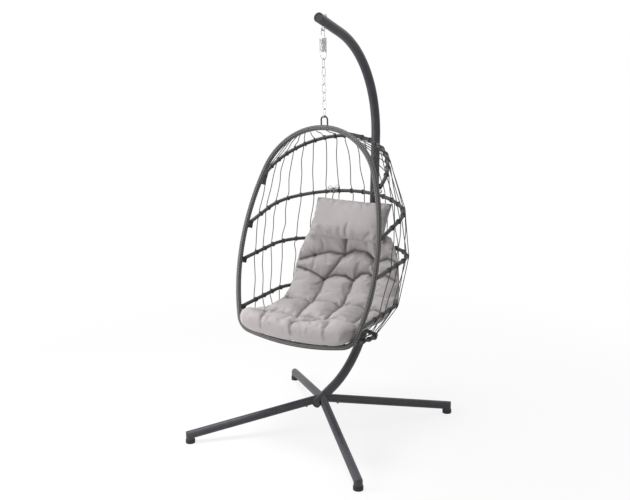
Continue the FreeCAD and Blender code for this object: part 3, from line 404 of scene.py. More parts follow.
class Finishes:
    """Materials made so far, one for each finish."""

    def __init__(self) -> None:
        """Starts with none."""
        self.made: dict[str, bpy.types.Material] = {}

    def of(self, finish: Finish) -> bpy.types.Material:
        """Material of a finish, made when first asked for.

        Args:
            finish: The finish.

        Returns:
            Its material.
        """
        if finish.name not in self.made:
            self.made[finish.name] = finish.material()
        return self.made[finish.name]

    def dress(self, nodes: Sequence[str], finish: Finish) -> None:
        """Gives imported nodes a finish.

        Args:
            nodes: Names of the nodes.
            finish: Their finish.
        """
        for name in nodes:
            node = frame["nodes"][name]
            for slot in node.material_slots:
                slot.material = self.of(finish)
            LOG.info("%s wears %s", name, finish.name)


FINISHES = Finishes()


def make_piece(name: str, points: Points, faces: Sequence[Sequence[int]], finish: Finish, body: Body,
               uv: Points | None = None, relief: Points | None = None) -> bpy.types.Object:
    """Makes one smooth mesh piece that rides on a body.

    Args:
        name: Name of the piece.
        points: Its vertices.
        faces: Vertex numbers of each face.
        finish: Its finish.
        body: The body that it rides on.
        uv: Length and girth in metres at each face corner, in the faces' order.
        relief: Height of the surface at each vertex, from 0 to 1.

    Returns:
        The new object.
    """
    mesh = bpy.data.meshes.new(name)
    mesh.from_pydata(points.tolist(), [], faces)
    mesh.polygons.foreach_set("use_smooth", [True] * len(mesh.polygons))
    if uv is not None:
        mesh.uv_layers.new(name="length_girth").data.foreach_set("uv", uv.astype(np.float32).ravel())
    if relief is not None:
        mesh.attributes.new("relief", "FLOAT", "POINT").data.foreach_set("value", relief.astype(np.float32))
    mesh.materials.append(FINISHES.of(finish))
    piece = bpy.data.objects.new(name, mesh)
    bpy.context.scene.collection.objects.link(piece)
    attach(piece, body.value)
    LOG.info("%s: %d points", name, len(points))
    return piece


def even(points: Points, step: float, closed: bool = False) -> Points:
    """Points at even steps along a line.

    Args:
        points: The line's points.
        step: Wanted distance between two points.
        closed: Whether the line runs back to its start.

    Returns:
        The new points, without the start repeated on a closed line.
    """
    line = np.vstack([points, points[:1]]) if closed else np.asarray(points)
    lengths = np.concatenate([[0.0], np.cumsum(np.linalg.norm(np.diff(line, axis=0), axis=1))])
    count = max(2, int(round(lengths[-1] / step)))
    stations = np.linspace(0.0, lengths[-1], count + 1)
    if closed:
        stations = stations[:-1]
    return np.stack([np.interp(stations, lengths, line[:, axis]) for axis in range(3)], 1)


def smooth_line(points: Sequence[Vector], per_span: int = 14) -> Points:
    """Catmull-Rom line through points.

    Args:
        points: Points that the line passes.
        per_span: Steps between two of them.

    Returns:
        Points along the line.
    """
    p = np.array([list(v) for v in points])
    p = np.vstack([2 * p[0] - p[1], p, 2 * p[-1] - p[-2]])
    t = np.linspace(0, 1, per_span, endpoint=False)[:, None]
    rows = []
    for i in range(1, len(p) - 2):
        a, b, c, d = p[i - 1], p[i], p[i + 1], p[i + 2]
        rows.append(0.5 * (2 * b + (c - a) * t + (2 * a - 5 * b + 4 * c - d) * t ** 2
                           + (3 * b - a - 3 * c + d) * t ** 3))
    rows.append(p[-2:-1])
    return np.vstack(rows)


@dataclass
class TubeMesh:
    """Vertices, faces and cloth coordinates of one or several tubes."""

    points: list[Points] = field(default_factory=list)
    faces: list[list[int]] = field(default_factory=list)
    uv: list[Points] = field(default_factory=list)
    relief: list[Points] = field(default_factory=list)
    count: int = 0

    def add(self, line: Points, radius: float | Callable[[Points, Points], Points], sides: int,
            closed: bool = False, normal: Vector | None = None, depth: float = 1.0) -> None:
        """Adds a tube.

        Args:
            line: Its centre line.
            radius: One radius, or radii from the lengths (a column) and the angles (a row).
            sides: Points round it.
            closed: Whether the line runs back to its start.
            normal: Steady reference direction across a flat line.
            depth: Height of the relief that counts as 1.
        """
        line = np.asarray(line)
        if closed:
            tangent = np.roll(line, -1, 0) - np.roll(line, 1, 0)
        else:
            tangent = np.gradient(line, axis=0)
        tangent /= np.linalg.norm(tangent, axis=1)[:, None]
        side = self.frames(tangent, normal)
        up = np.cross(tangent, side)
        steps = np.linalg.norm(np.diff(line, axis=0), axis=1)
        length = np.concatenate([[0.0], np.cumsum(steps)])[:, None]
        angle = np.linspace(0, math.tau, sides, endpoint=False)[None, :]
        radii = radius(length, angle) if callable(radius) else np.full((len(line), sides), radius)
        ring = (line[:, None] + radii[..., None] * (np.cos(angle)[..., None] * side[:, None]
                                                     + np.sin(angle)[..., None] * up[:, None]))
        n = len(line)
        self.points.append(ring.reshape(-1, 3))
        self.relief.append(np.clip(1 - (radii.max() - radii) / depth, 0, 1).ravel())
        girth = np.append(angle[0], math.tau) * float(radii.mean())
        along = np.append(length[:, 0], length[-1, 0] + (steps.mean() if len(steps) else 0))
        spans = n if closed else n - 1
        i, j = np.meshgrid(np.arange(spans), np.arange(sides), indexing="ij")
        k, m = (i + 1) % n, (j + 1) % sides
        quads = np.stack([i * sides + j, i * sides + m, k * sides + m, k * sides + j], -1).reshape(-1, 4)
        corners = np.stack([np.stack([along[i + ahead], girth[j + beside]], -1)
                            for ahead, beside in ((0, 0), (0, 1), (1, 1), (1, 0))], 2)
        self.faces += (quads + self.count).tolist()
        self.uv.append(corners.reshape(-1, 2))
        if not closed:
            for ends in (list(range(sides))[::-1], [(n - 1) * sides + j for j in range(sides)]):
                self.faces.append([e + self.count for e in ends])
                self.uv.append(np.zeros((sides, 2)))
        self.count += n * sides

    @staticmethod
    def frames(tangent: Points, normal: Vector | None) -> Points:
        """Side direction at each point, steady along the line.

        Args:
            tangent: Directions of the line.
            normal: Steady reference direction, or none to carry the first one along.

        Returns:
            Unit vectors across the line.
        """
        if normal is not None:
            side = np.tile(np.array(list(normal)), (len(tangent), 1))
            side -= (side * tangent).sum(1)[:, None] * tangent
            return side / np.linalg.norm(side, axis=1)[:, None]
        least_cross = 0.1
        start = np.cross(tangent[0], [0.0, 0.0, 1.0])
        if np.linalg.norm(start) < least_cross:
            start = np.cross(tangent[0], [1.0, 0.0, 0.0])
        side = np.empty_like(tangent)
        here = start / np.linalg.norm(start)
        for index, way in enumerate(tangent):
            here = here - way * here.dot(way)
            here = here / np.linalg.norm(here)
            side[index] = here
        return side

    def piece(self, name: str, finish: Finish, body: Body) -> bpy.types.Object:
        """Makes the tubes one piece."""
        return make_piece(name, np.vstack(self.points), self.faces, finish, body, np.vstack(self.uv),
                          np.concatenate(self.relief))


@dataclass
class HoopShape:
    """Egg-shaped outline of the front hoop in its leaning plane."""

    lean: float = math.radians(17.6)
    height: float = 1000 * MM
    half_width: float = 364.5 * MM
    widest_drop: float = 610 * MM
    top_radius: float = 312 * MM
    side_radius: float = 1040 * MM
    corner_radius: float = 85 * MM
    bottom_radius: float = 1300 * MM
    wicker: float = 25 * MM
    loop_height: float = 52 * MM
    loop_z: float = field(init=False)
    hang_y: float = field(init=False)

    def __post_init__(self) -> None:
        """Finds the crown from the joint at the hanging loop and fixes the plane's directions."""
        tilt = next(joint for joint in frame["joints"] if joint["name"] == "basket_tilt")
        self.hang_y, self.loop_z = tilt["pos_m"][1], tilt["pos_m"][2]
        self.crown = Vector((0, self.hang_y, self.loop_z - self.loop_height))
        self.up = Vector((0, math.sin(self.lean), math.cos(self.lean)))
        self.back = Vector((0, math.cos(self.lean), -math.sin(self.lean)))
        self.arcs = self.make_arcs()

    def at(self, across: float, down: float, behind: float = 0.0) -> Vector:
        """Point of the plane: across it, down from the crown and behind it."""
        return self.crown + Vector((across, 0, 0)) - self.up * down + self.back * behind

    @staticmethod
    def touch(big: Spot, radius: float, small: Spot) -> Spot:
        """Where a small circle touches a big one from inside."""
        way = Vector((small[0] - big[0], small[1] - big[1])).normalized()
        return big[0] + way.x * radius, big[1] + way.y * radius

    def make_arcs(self) -> list[tuple[Spot, float, Spot, Spot]]:
        """Arcs of the right half, from the crown to the middle of the lower rail.

        Returns:
            Centre, radius, start and end of each, as (across, down).
        """
        wide, drop, top = self.half_width, self.widest_drop, self.top_radius
        rise = drop - top
        shoulder = (wide * wide + rise * rise - top * top) / (2 * (wide - top))
        crown, shoulder_at = (0.0, top), (wide - shoulder, drop)
        side_at, low_at = (wide - self.side_radius, drop), (0.0, self.height - self.bottom_radius)
        a, b = self.side_radius - self.corner_radius, self.bottom_radius - self.corner_radius
        dx, dy = low_at[0] - side_at[0], low_at[1] - side_at[1]
        apart = math.hypot(dx, dy)
        along = (a * a - b * b + apart * apart) / (2 * apart)
        off = math.sqrt(a * a - along * along)
        corner_at = max((side_at[0] + (along * dx + sign * off * dy) / apart,
                         side_at[1] + (along * dy - sign * off * dx) / apart) for sign in (1, -1))
        top_meet = self.touch(shoulder_at, shoulder, crown)
        side_meet = self.touch(side_at, self.side_radius, corner_at)
        low_meet = self.touch(low_at, self.bottom_radius, corner_at)
        return [(crown, top, (0.0, 0.0), top_meet), (shoulder_at, shoulder, top_meet, (wide, drop)),
                (side_at, self.side_radius, (wide, drop), side_meet),
                (corner_at, self.corner_radius, side_meet, low_meet),
                (low_at, self.bottom_radius, low_meet, (0.0, self.height))]

    def width_at(self, down: float) -> float:
        """Half width of the centre line at one level.

        Args:
            down: Drop of the level from the crown, in the hoop's plane.

        Returns:
            The half width, or 0 below the rail.
        """
        for (across, level), radius, start, end in self.arcs:
            if start[1] <= down <= end[1]:
                return across + math.sqrt(radius * radius - (down - level) ** 2)
        return 0.0

    def line(self, step: float, behind: float = 0.0) -> Points:
        """Closed centre line from the crown down the right side and up the left.

        Args:
            step: Distance between two points.
            behind: How far behind the hoop's plane it lies.

        Returns:
            Its points.
        """
        fine = 2 * MM
        right = []
        for (cx, cy), radius, start, end in self.arcs:
            first = math.atan2(start[1] - cy, start[0] - cx)
            last = math.atan2(end[1] - cy, end[0] - cx)
            count = max(4, int(abs(last - first) * radius / fine))
            for k in range(count):
                a = first + (last - first) * k / count
                right.append((cx + radius * math.cos(a), cy + radius * math.sin(a)))
        left = [(-x, y) for x, y in right[:0:-1]]
        loop = right + [(0.0, self.height)] + left
        return even(np.array([list(self.at(x, y, behind)) for x, y in loop]), step, True)

    def share(self, share: float, behind: float) -> Vector:
        """Point at a share of the hoop's length, from the crown round the right side."""
        line = self.line(2 * MM, behind)
        return Vector(line[int(round((share % 1.0) * len(line))) % len(line)])


@dataclass
class RibShape:
    """One U-shaped rib behind the hoop."""

    name: str
    drop: float
    slope: float
    depth: float
    corner: float
    rear: float
    hoop: HoopShape
    wicker: float = 18 * MM
    plug: float = 4 * MM
    gap: float = 0.3 * MM

    def __post_init__(self) -> None:
        """Fixes the rib's plane and where its arms start behind the hoop."""
        self.half_width = self.hoop.width_at(self.drop)
        self.back = Vector((0, math.cos(self.slope), math.sin(self.slope)))
        oblique = abs(self.slope + self.hoop.lean)
        radius = self.wicker / 2
        clear = self.hoop.wicker / 2 + 2 * self.gap
        clear += self.plug * math.cos(oblique) + radius * math.sin(oblique)
        self.start = clear / math.cos(oblique)
        self.seat = self.hoop.at(0, self.drop)
        self.normal = self.back.cross(Vector((1, 0, 0)))

    def at(self, across: float, behind: float) -> Vector:
        """Point of the rib's plane: across it and behind the hoop's middle."""
        return self.seat + Vector((across, 0, 0)) + self.back * behind

    def line(self, step: float) -> Points:
        """Centre line from the left end round the rear to the right end.

        Args:
            step: Distance between two points.

        Returns:
            Its points.
        """
        rear_steps, corner_steps = 40, 30
        corner_x, rear_y = self.half_width - self.corner, self.depth - self.rear
        corner_y = rear_y + math.sqrt((self.rear - self.corner) ** 2 - corner_x ** 2)
        turn = math.atan2(corner_y - rear_y, corner_x)
        right = [(0.0, self.depth)]
        for k in range(1, rear_steps + 1):
            a = math.pi / 2 + (turn - math.pi / 2) * k / rear_steps
            right.append((self.rear * math.cos(a), rear_y + self.rear * math.sin(a)))
        for k in range(1, corner_steps + 1):
            a = turn * (1 - k / corner_steps)
            right.append((corner_x + self.corner * math.cos(a), corner_y + self.corner * math.sin(a)))
        right.append((self.half_width, self.start))
        left = [(-x, y) for x, y in right[:0:-1]]
        return even(np.array([list(self.at(x, y)) for x, y in left + right]), step)


# Each rib's drop, slope, depth, corner radius and rear radius follow its name.
HOOP = HoopShape()
RIBS = [
    RibShape("one", 276 * MM, math.radians(33), 370 * MM, 182 * MM, 318 * MM, HOOP),
    RibShape("two", 488 * MM, math.radians(15), 464 * MM, 190 * MM, 430 * MM, HOOP),
    RibShape("three", 657 * MM, math.radians(4), 492 * MM, 180 * MM, 620 * MM, HOOP),
    RibShape("four", 880 * MM, math.radians(2), 505 * MM, 155 * MM, 560 * MM, HOOP),
    RibShape("five", 972 * MM, math.radians(-8), 400 * MM, 110 * MM, 600 * MM, HOOP),
]


@dataclass
class Stand:
    """Bent pole on four crossed legs."""

    legs: tuple[str, ...] = ("front_left", "front_right", "back_right", "back_left")

    def build(self) -> None:
        """Dresses the stand's nodes."""
        FINISHES.dress(["leg_" + leg for leg in self.legs] + ["lower_pole", "upper_pole"], STAND_PAINT)
        FINISHES.dress(["foot_" + leg for leg in self.legs], RUBBER)
        FINISHES.dress(["pole_tip_cap", "pole_foot_cap"], PLASTIC)
        FINISHES.dress(["leg_bolts", "pole_joint_bolts", "pole_joint_nuts"], BOLT_STEEL)


@dataclass
class Hanger:
    """Eye bolt, spring and chain."""

    links: int = 7

    def build(self) -> None:
        """Dresses the hanger's nodes."""
        chain = ["chain_link_%d" % (number + 1) for number in range(self.links)]
        FINISHES.dress(["eye_bolt", "eye_washer", "eye_nut", "hanger_spring"] + chain, ZINC)


@dataclass
class WovenHoop:
    """Front hoop wrapped in lengthwise strands that a thin strand binds crosswise."""

    strands: int = 8
    binding: float = 6.5 * MM
    relief: float = 1.7 * MM
    wave: float = 0.35 * MM
    strand_fill: float = 0.96
    binding_fill: float = 0.5
    binding_height: float = 0.5
    step: float = 1.5 * MM
    sides: int = 80

    def radii(self, length: Points, angle: Points) -> Points:
        """Radius over the weave.

        Args:
            length: Lengths along the hoop.
            angle: Angles round it.

        Returns:
            The radius at each length and angle.
        """
        across = angle * self.strands / math.tau
        strand = np.floor(across)
        off = 2 * (across - strand) - 1
        phase = math.pi * (length / self.binding + strand)
        lengthwise = self.relief * np.sqrt(np.clip(1 - (off / self.strand_fill) ** 2, 0, 1))
        lengthwise = lengthwise + self.wave * np.cos(phase)
        turn = length / self.binding - 0.5
        nearest = 2 * (turn - np.floor(turn)) - 1
        binding = self.relief * self.binding_height
        crosswise = binding * np.sqrt(np.clip(1 - (nearest / self.binding_fill) ** 2, 0, 1))
        crosswise = crosswise - self.wave * np.cos(math.pi * (np.floor(turn) + strand))
        return HOOP.wicker / 2 - self.relief - self.wave + np.maximum(lengthwise, crosswise)

    def build(self) -> None:
        """Makes the woven sleeve and dresses the loop and what the sleeve hides."""
        tube = TubeMesh()
        tube.add(HOOP.line(self.step), self.radii, self.sides, True, HOOP.back, self.relief)
        sleeve = tube.piece("hoop_weave", HOOP_WICKER, Body.BASKET)
        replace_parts(sleeve, "hoop_wicker")
        FINISHES.dress(["hanging_loop"], LOOP_PAINT)
        FINISHES.dress(["hoop_tube", "rib_lugs"], FRAME_PAINT)
        FINISHES.dress(["rib_bolts"], BOLT_STEEL)
        FINISHES.dress(["rib_end_plugs"], PLASTIC)


@dataclass
class WoundRib:
    """Rib wound with one strand, turn beside turn."""

    shape: RibShape
    pitch: float = 7 * MM
    relief: float = 1.3 * MM
    strand_fill: float = 0.98
    turn_wobble: float = 0.25 * MM
    slow_wobble: float = 0.2 * MM
    step: float = 1.3 * MM
    sides: int = 26

    def radii(self, length: Points, angle: Points) -> Points:
        """Radius over the winding.

        Args:
            length: Lengths along the rib.
            angle: Angles round it.

        Returns:
            The radius at each length and angle.
        """
        turn = length / self.pitch - angle / math.tau
        off = 2 * (turn - np.floor(turn)) - 1
        wobble = self.turn_wobble * np.sin(np.floor(turn) * 2.4) + self.slow_wobble * np.sin(length * 37)
        low = self.shape.wicker / 2 - self.relief - self.turn_wobble
        return low + self.relief * np.sqrt(np.clip(1 - (off / self.strand_fill) ** 2, 0, 1)) + wobble

    def build(self) -> None:
        """Makes the winding over the rib's bar."""
        tube = TubeMesh()
        tube.add(self.shape.line(self.step), self.radii, self.sides, False, self.shape.normal, self.relief)
        winding = tube.piece("rib_%s_winding" % self.shape.name, RIB_WICKER, Body.BASKET)
        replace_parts(winding, "rib_%s_wicker" % self.shape.name)
        FINISHES.dress(["rib_%s_bar" % self.shape.name], FRAME_PAINT)


@dataclass
class Cords:
    """Cords of the basket, each tied round every rib that it crosses."""

    count: int = 18
    diameter: float = 4 * MM
    clear: float = 0.055
    crown_share: float = 0.15
    rail_share: float = 0.27
    side_share: float = 0.3
    gap: float = 0.3 * MM
    sway: float = 8 * MM
    sway_places: tuple[float, ...] = (0.12, 0.34, 0.6, 0.88)
    knot_turns: float = 2.1
    knot_bite: float = 0.6 * MM
    knot_pack: float = 0.95
    knot_steps: int = 22
    seed: int = 7
    lines: dict[str, TubeMesh] = field(default_factory=dict)
    knots: dict[str, TubeMesh] = field(default_factory=dict)

    @staticmethod
    def crossing(line: Points, share: float) -> tuple[Vector, Vector]:
        """Where a cord crosses a rib.

        Args:
            line: The rib's centre line.
            share: Share of its length, from the left.

        Returns:
            The point, and the rib's direction there.
        """
        index = min(max(1, int(round(share * (len(line) - 1)))), len(line) - 2)
        along = Vector(line[index + 1]) - Vector(line[index - 1])
        return Vector(line[index]), along.normalized()

    def outward(self, rib: RibShape, here: Vector, along: Vector, before: Vector, after: Vector) -> Vector:
        """Direction from the rib's middle to where the cord passes it.

        Args:
            rib: The rib.
            here: Point of its centre line.
            along: Its direction there.
            before: The cord's point before it.
            after: The cord's point after it.

        Returns:
            The direction, across the rib.
        """
        outward_pull = 0.15
        out = along.cross(rib.normal)
        if out.dot(here - rib.seat) < 0:
            out = -out
        away = (here - before).normalized() - (after - here).normalized() + out * outward_pull
        return (away - along * away.dot(along)).normalized()

    def knot(self, rib: RibShape, here: Vector, along: Vector, start: Vector, turns: float) -> None:
        """Winds a cord round a rib.

        Args:
            rib: The rib.
            here: Where, on its middle line.
            along: Direction of the rib there.
            start: Direction in which the winding begins.
            turns: How many turns it has.
        """
        radius = rib.wicker / 2 + self.diameter / 2 - self.knot_bite
        other = along.cross(start)
        steps = int(self.knot_steps * turns)
        turn_pitch = self.diameter * self.knot_pack
        line = []
        for k in range(steps + 1):
            a = math.tau * turns * k / steps
            lift = (k / steps - 0.5) * turn_pitch * turns
            line.append(here + start * math.cos(a) * radius + other * math.sin(a) * radius + along * lift)
        knots = self.knots.setdefault(rib.name, TubeMesh())
        knots.add(np.array([list(p) for p in line]), self.diameter / 2, 8)

    def route(self, number: int, lines: list[Points], rng: random.Random) -> None:
        """Lays one cord over the ribs.

        Args:
            number: Its number from the left.
            lines: Centre lines of the ribs.
            rng: Source of its unevenness.
        """
        place = (number + 0.5) / self.count
        share = self.clear + (1 - 2 * self.clear) * place
        sideways = place - 0.5
        tied_low = abs(sideways) > 0.5 - self.side_share
        behind = HOOP.wicker / 2 + self.diameter / 2 + 2 * self.gap
        top = HOOP.share(sideways * self.crown_share, behind)
        low = HOOP.share(0.5 - sideways * self.rail_share, behind)
        crossings = [self.crossing(line, share) for line in lines]
        stops = [top] + [here for here, along in crossings] + [low]
        wrap = RIBS[0].wicker / 2 + self.diameter / 2 + self.gap
        route = [top]
        for index, (rib, (here, along)) in enumerate(zip(RIBS, crossings), 1):
            away = self.outward(rib, here, along, stops[index - 1], stops[index + 1])
            passing = here + away * wrap
            last = index == len(RIBS) and tied_low
            if last:
                come = stops[index - 1] - here
                passing = here + (come - along * come.dot(along)).normalized() * (rib.wicker / 2)
            self.sag(route, passing, along, rng)
            route.append(passing)
            self.knot(rib, here, along, away, self.knot_turns + rng.uniform(-0.4, 0.5))
            if last:
                break
        if not tied_low:
            self.sag(route, low, Vector((1, 0, 0)), rng)
            route.append(low)
        group = "rear" if not tied_low else "left" if place < 0.5 else "right"
        tube = self.lines.setdefault(group, TubeMesh())
        tube.add(even(smooth_line(route), 5 * MM), self.diameter / 2, 10)

    def sag(self, route: list[Vector], end: Vector, along: Vector, rng: random.Random) -> None:
        """Adds the uneven middle points of a stretch between two ribs.

        Args:
            route: The cord's points so far.
            end: Where the stretch ends.
            along: Direction in which it sways.
            rng: Source of its unevenness.
        """
        start = route[-1]
        for share in self.sway_places:
            drift = rng.uniform(-1, 1) * self.sway * min(1.0, 4 * share * (1 - share) + 0.3)
            route.append(start.lerp(end, share) + along * drift)

    def build(self) -> None:
        """Makes the cords and their knots."""
        rng = random.Random(self.seed)
        lines = [rib.line(2 * MM) for rib in RIBS]
        for number in range(self.count):
            self.route(number, lines, rng)
        for group, tube in self.lines.items():
            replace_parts(tube.piece("basket_cords_" + group, BASKET_CORD, Body.BASKET), "cords_" + group)
        for name, tube in self.knots.items():
            tube.piece("cord_knots_rib_" + name, BASKET_CORD, Body.BASKET)


@dataclass
class Envelope:
    """Two sheets of cloth on one grid, sewn together round their rim."""

    across: int
    along: int

    def spread(self, count: int, gather: float) -> Points:
        """Shares from -1 to 1 that lie closer together at both ends.

        Args:
            count: Number of cells.
            gather: How much closer they lie at the ends.

        Returns:
            The shares, one more than the cells.
        """
        plain = np.linspace(-1, 1, count + 1)
        return plain * (1 + gather - gather * plain ** 2)

    def make(self, name: str, front: Points, back: Points, flat: Points) -> tuple[bpy.types.Object, Points]:
        """Sews the sheets and makes the piece.

        Args:
            name: Name of the piece.
            front: Points of the seated sheet, by grid row and column.
            back: Points of the other sheet; its rim is taken from the seated one.
            flat: Cloth coordinates of the grid in metres.

        Returns:
            The piece, and for each vertex 1 on the back sheet, 0 on the front and 0.5 on the rim.
        """
        rows, columns = self.across + 1, self.along + 1
        number = np.arange(rows * columns).reshape(rows, columns)
        behind = number.copy()
        inner = np.zeros((rows, columns), bool)
        inner[1:-1, 1:-1] = True
        behind[inner] = rows * columns + np.arange(int(inner.sum()))
        points = np.vstack([front.reshape(-1, 3), back[inner]])
        sheet_uv = np.vstack([flat.reshape(-1, 2), flat[inner]])
        one = np.stack([number[:-1, :-1], number[1:, :-1], number[1:, 1:], number[:-1, 1:]], -1)
        other = np.stack([behind[:-1, :-1], behind[:-1, 1:], behind[1:, 1:], behind[1:, :-1]], -1)
        faces = np.vstack([one.reshape(-1, 4), other.reshape(-1, 4)])
        side = np.concatenate([np.where(inner, 0.0, 0.5).ravel(), np.ones(int(inner.sum()))])
        piece = make_piece(name, points, faces.tolist(), CLOTH, Body.BASKET, sheet_uv[faces].reshape(-1, 2))
        return piece, side


@dataclass
class Filling:
    """How a sewn cover is blown up about its seams."""

    pressure: float = 5.0
    ease: float = 0.05
    frames: int = 22
    most: float = 16 * MM
    bending: float = 0.4
    tension: float = 12.0
    quality: int = 6
    holds: int = 20

    def blow(self, piece: bpy.types.Object, pins: Points) -> None:
        """Inflates the cover and keeps the shape.

        Args:
            piece: The cover.
            pins: How firmly each vertex is held, from 0 to 1.
        """
        held = piece.vertex_groups.new(name="held")
        steps = np.round(pins * self.holds).astype(int)
        for step in range(1, self.holds + 1):
            chosen = np.nonzero(steps == step)[0].tolist()
            if chosen:
                held.add(chosen, step / self.holds, "REPLACE")
        cloth = piece.modifiers.new("filling", "CLOTH")
        cloth.settings.vertex_group_mass = "held"
        cloth.settings.quality = self.quality
        cloth.settings.tension_stiffness = self.tension
        cloth.settings.compression_stiffness = self.tension
        cloth.settings.shear_stiffness = self.tension / 3
        cloth.settings.bending_stiffness = self.bending
        cloth.settings.use_pressure = True
        cloth.settings.uniform_pressure_force = self.pressure
        cloth.settings.shrink_min = -self.ease
        cloth.settings.effector_weights.gravity = 0.0
        cloth.collision_settings.use_collision = False
        cloth.collision_settings.use_self_collision = False
        cloth.point_cache.frame_start = 1
        cloth.point_cache.frame_end = self.frames
        scene = bpy.context.scene
        for frame_number in range(1, self.frames + 1):
            scene.frame_set(frame_number)
        blown = piece.evaluated_get(bpy.context.evaluated_depsgraph_get())
        count = len(piece.data.vertices)
        after = np.empty(count * 3)
        blown.data.vertices.foreach_get("co", after)
        before = np.empty(count * 3)
        piece.data.vertices.foreach_get("co", before)
        piece.modifiers.remove(cloth)
        piece.vertex_groups.remove(held)
        scene.frame_set(1)
        move = (after - before).reshape(-1, 3)
        length = np.linalg.norm(move, axis=1)[:, None]
        kept = move * (self.most * np.tanh(length / self.most) / np.maximum(length, 1e-9))
        piece.data.vertices.foreach_set("co", (before.reshape(-1, 3) + kept).ravel())
        piece.data.update()
        LOG.info("%s: filled, moved %.1f mm at most", piece.name, float(length.max()) / MM)

    @staticmethod
    def smooth(piece: bpy.types.Object) -> None:
        """Adds one level of subdivision and keeps it.

        Args:
            piece: The cover.
        """
        finer = piece.modifiers.new("finer", "SUBSURF")
        finer.levels = 1
        finer.render_levels = 1
        shaped = piece.evaluated_get(bpy.context.evaluated_depsgraph_get())
        mesh = bpy.data.meshes.new_from_object(shaped)
        piece.modifiers.remove(finer)
        piece.data = mesh


@dataclass(frozen=True)
class Crease:
    """Fold that the quilting draws in along a line on the cloth, with its sizes in millimetres."""

    depth: float
    reach: float
    line: tuple[Spot, ...]

    def away(self, x: Points, s: Points) -> Points:
        """Distance of each point of the cloth from the fold.

        Args:
            x: Places across the cloth.
            s: Places along it.

        Returns:
            The distances in metres.
        """
        least = np.full(x.shape, np.inf)
        corners = [(across * MM, along * MM) for across, along in self.line]
        for (ax, ay), (bx, by) in zip(corners, corners[1:]):
            dx, dy = bx - ax, by - ay
            share = np.clip(((x - ax) * dx + (s - ay) * dy) / max(dx * dx + dy * dy, 1e-12), 0, 1)
            least = np.minimum(least, np.hypot(x - ax - dx * share, s - ay - dy * share))
        return least


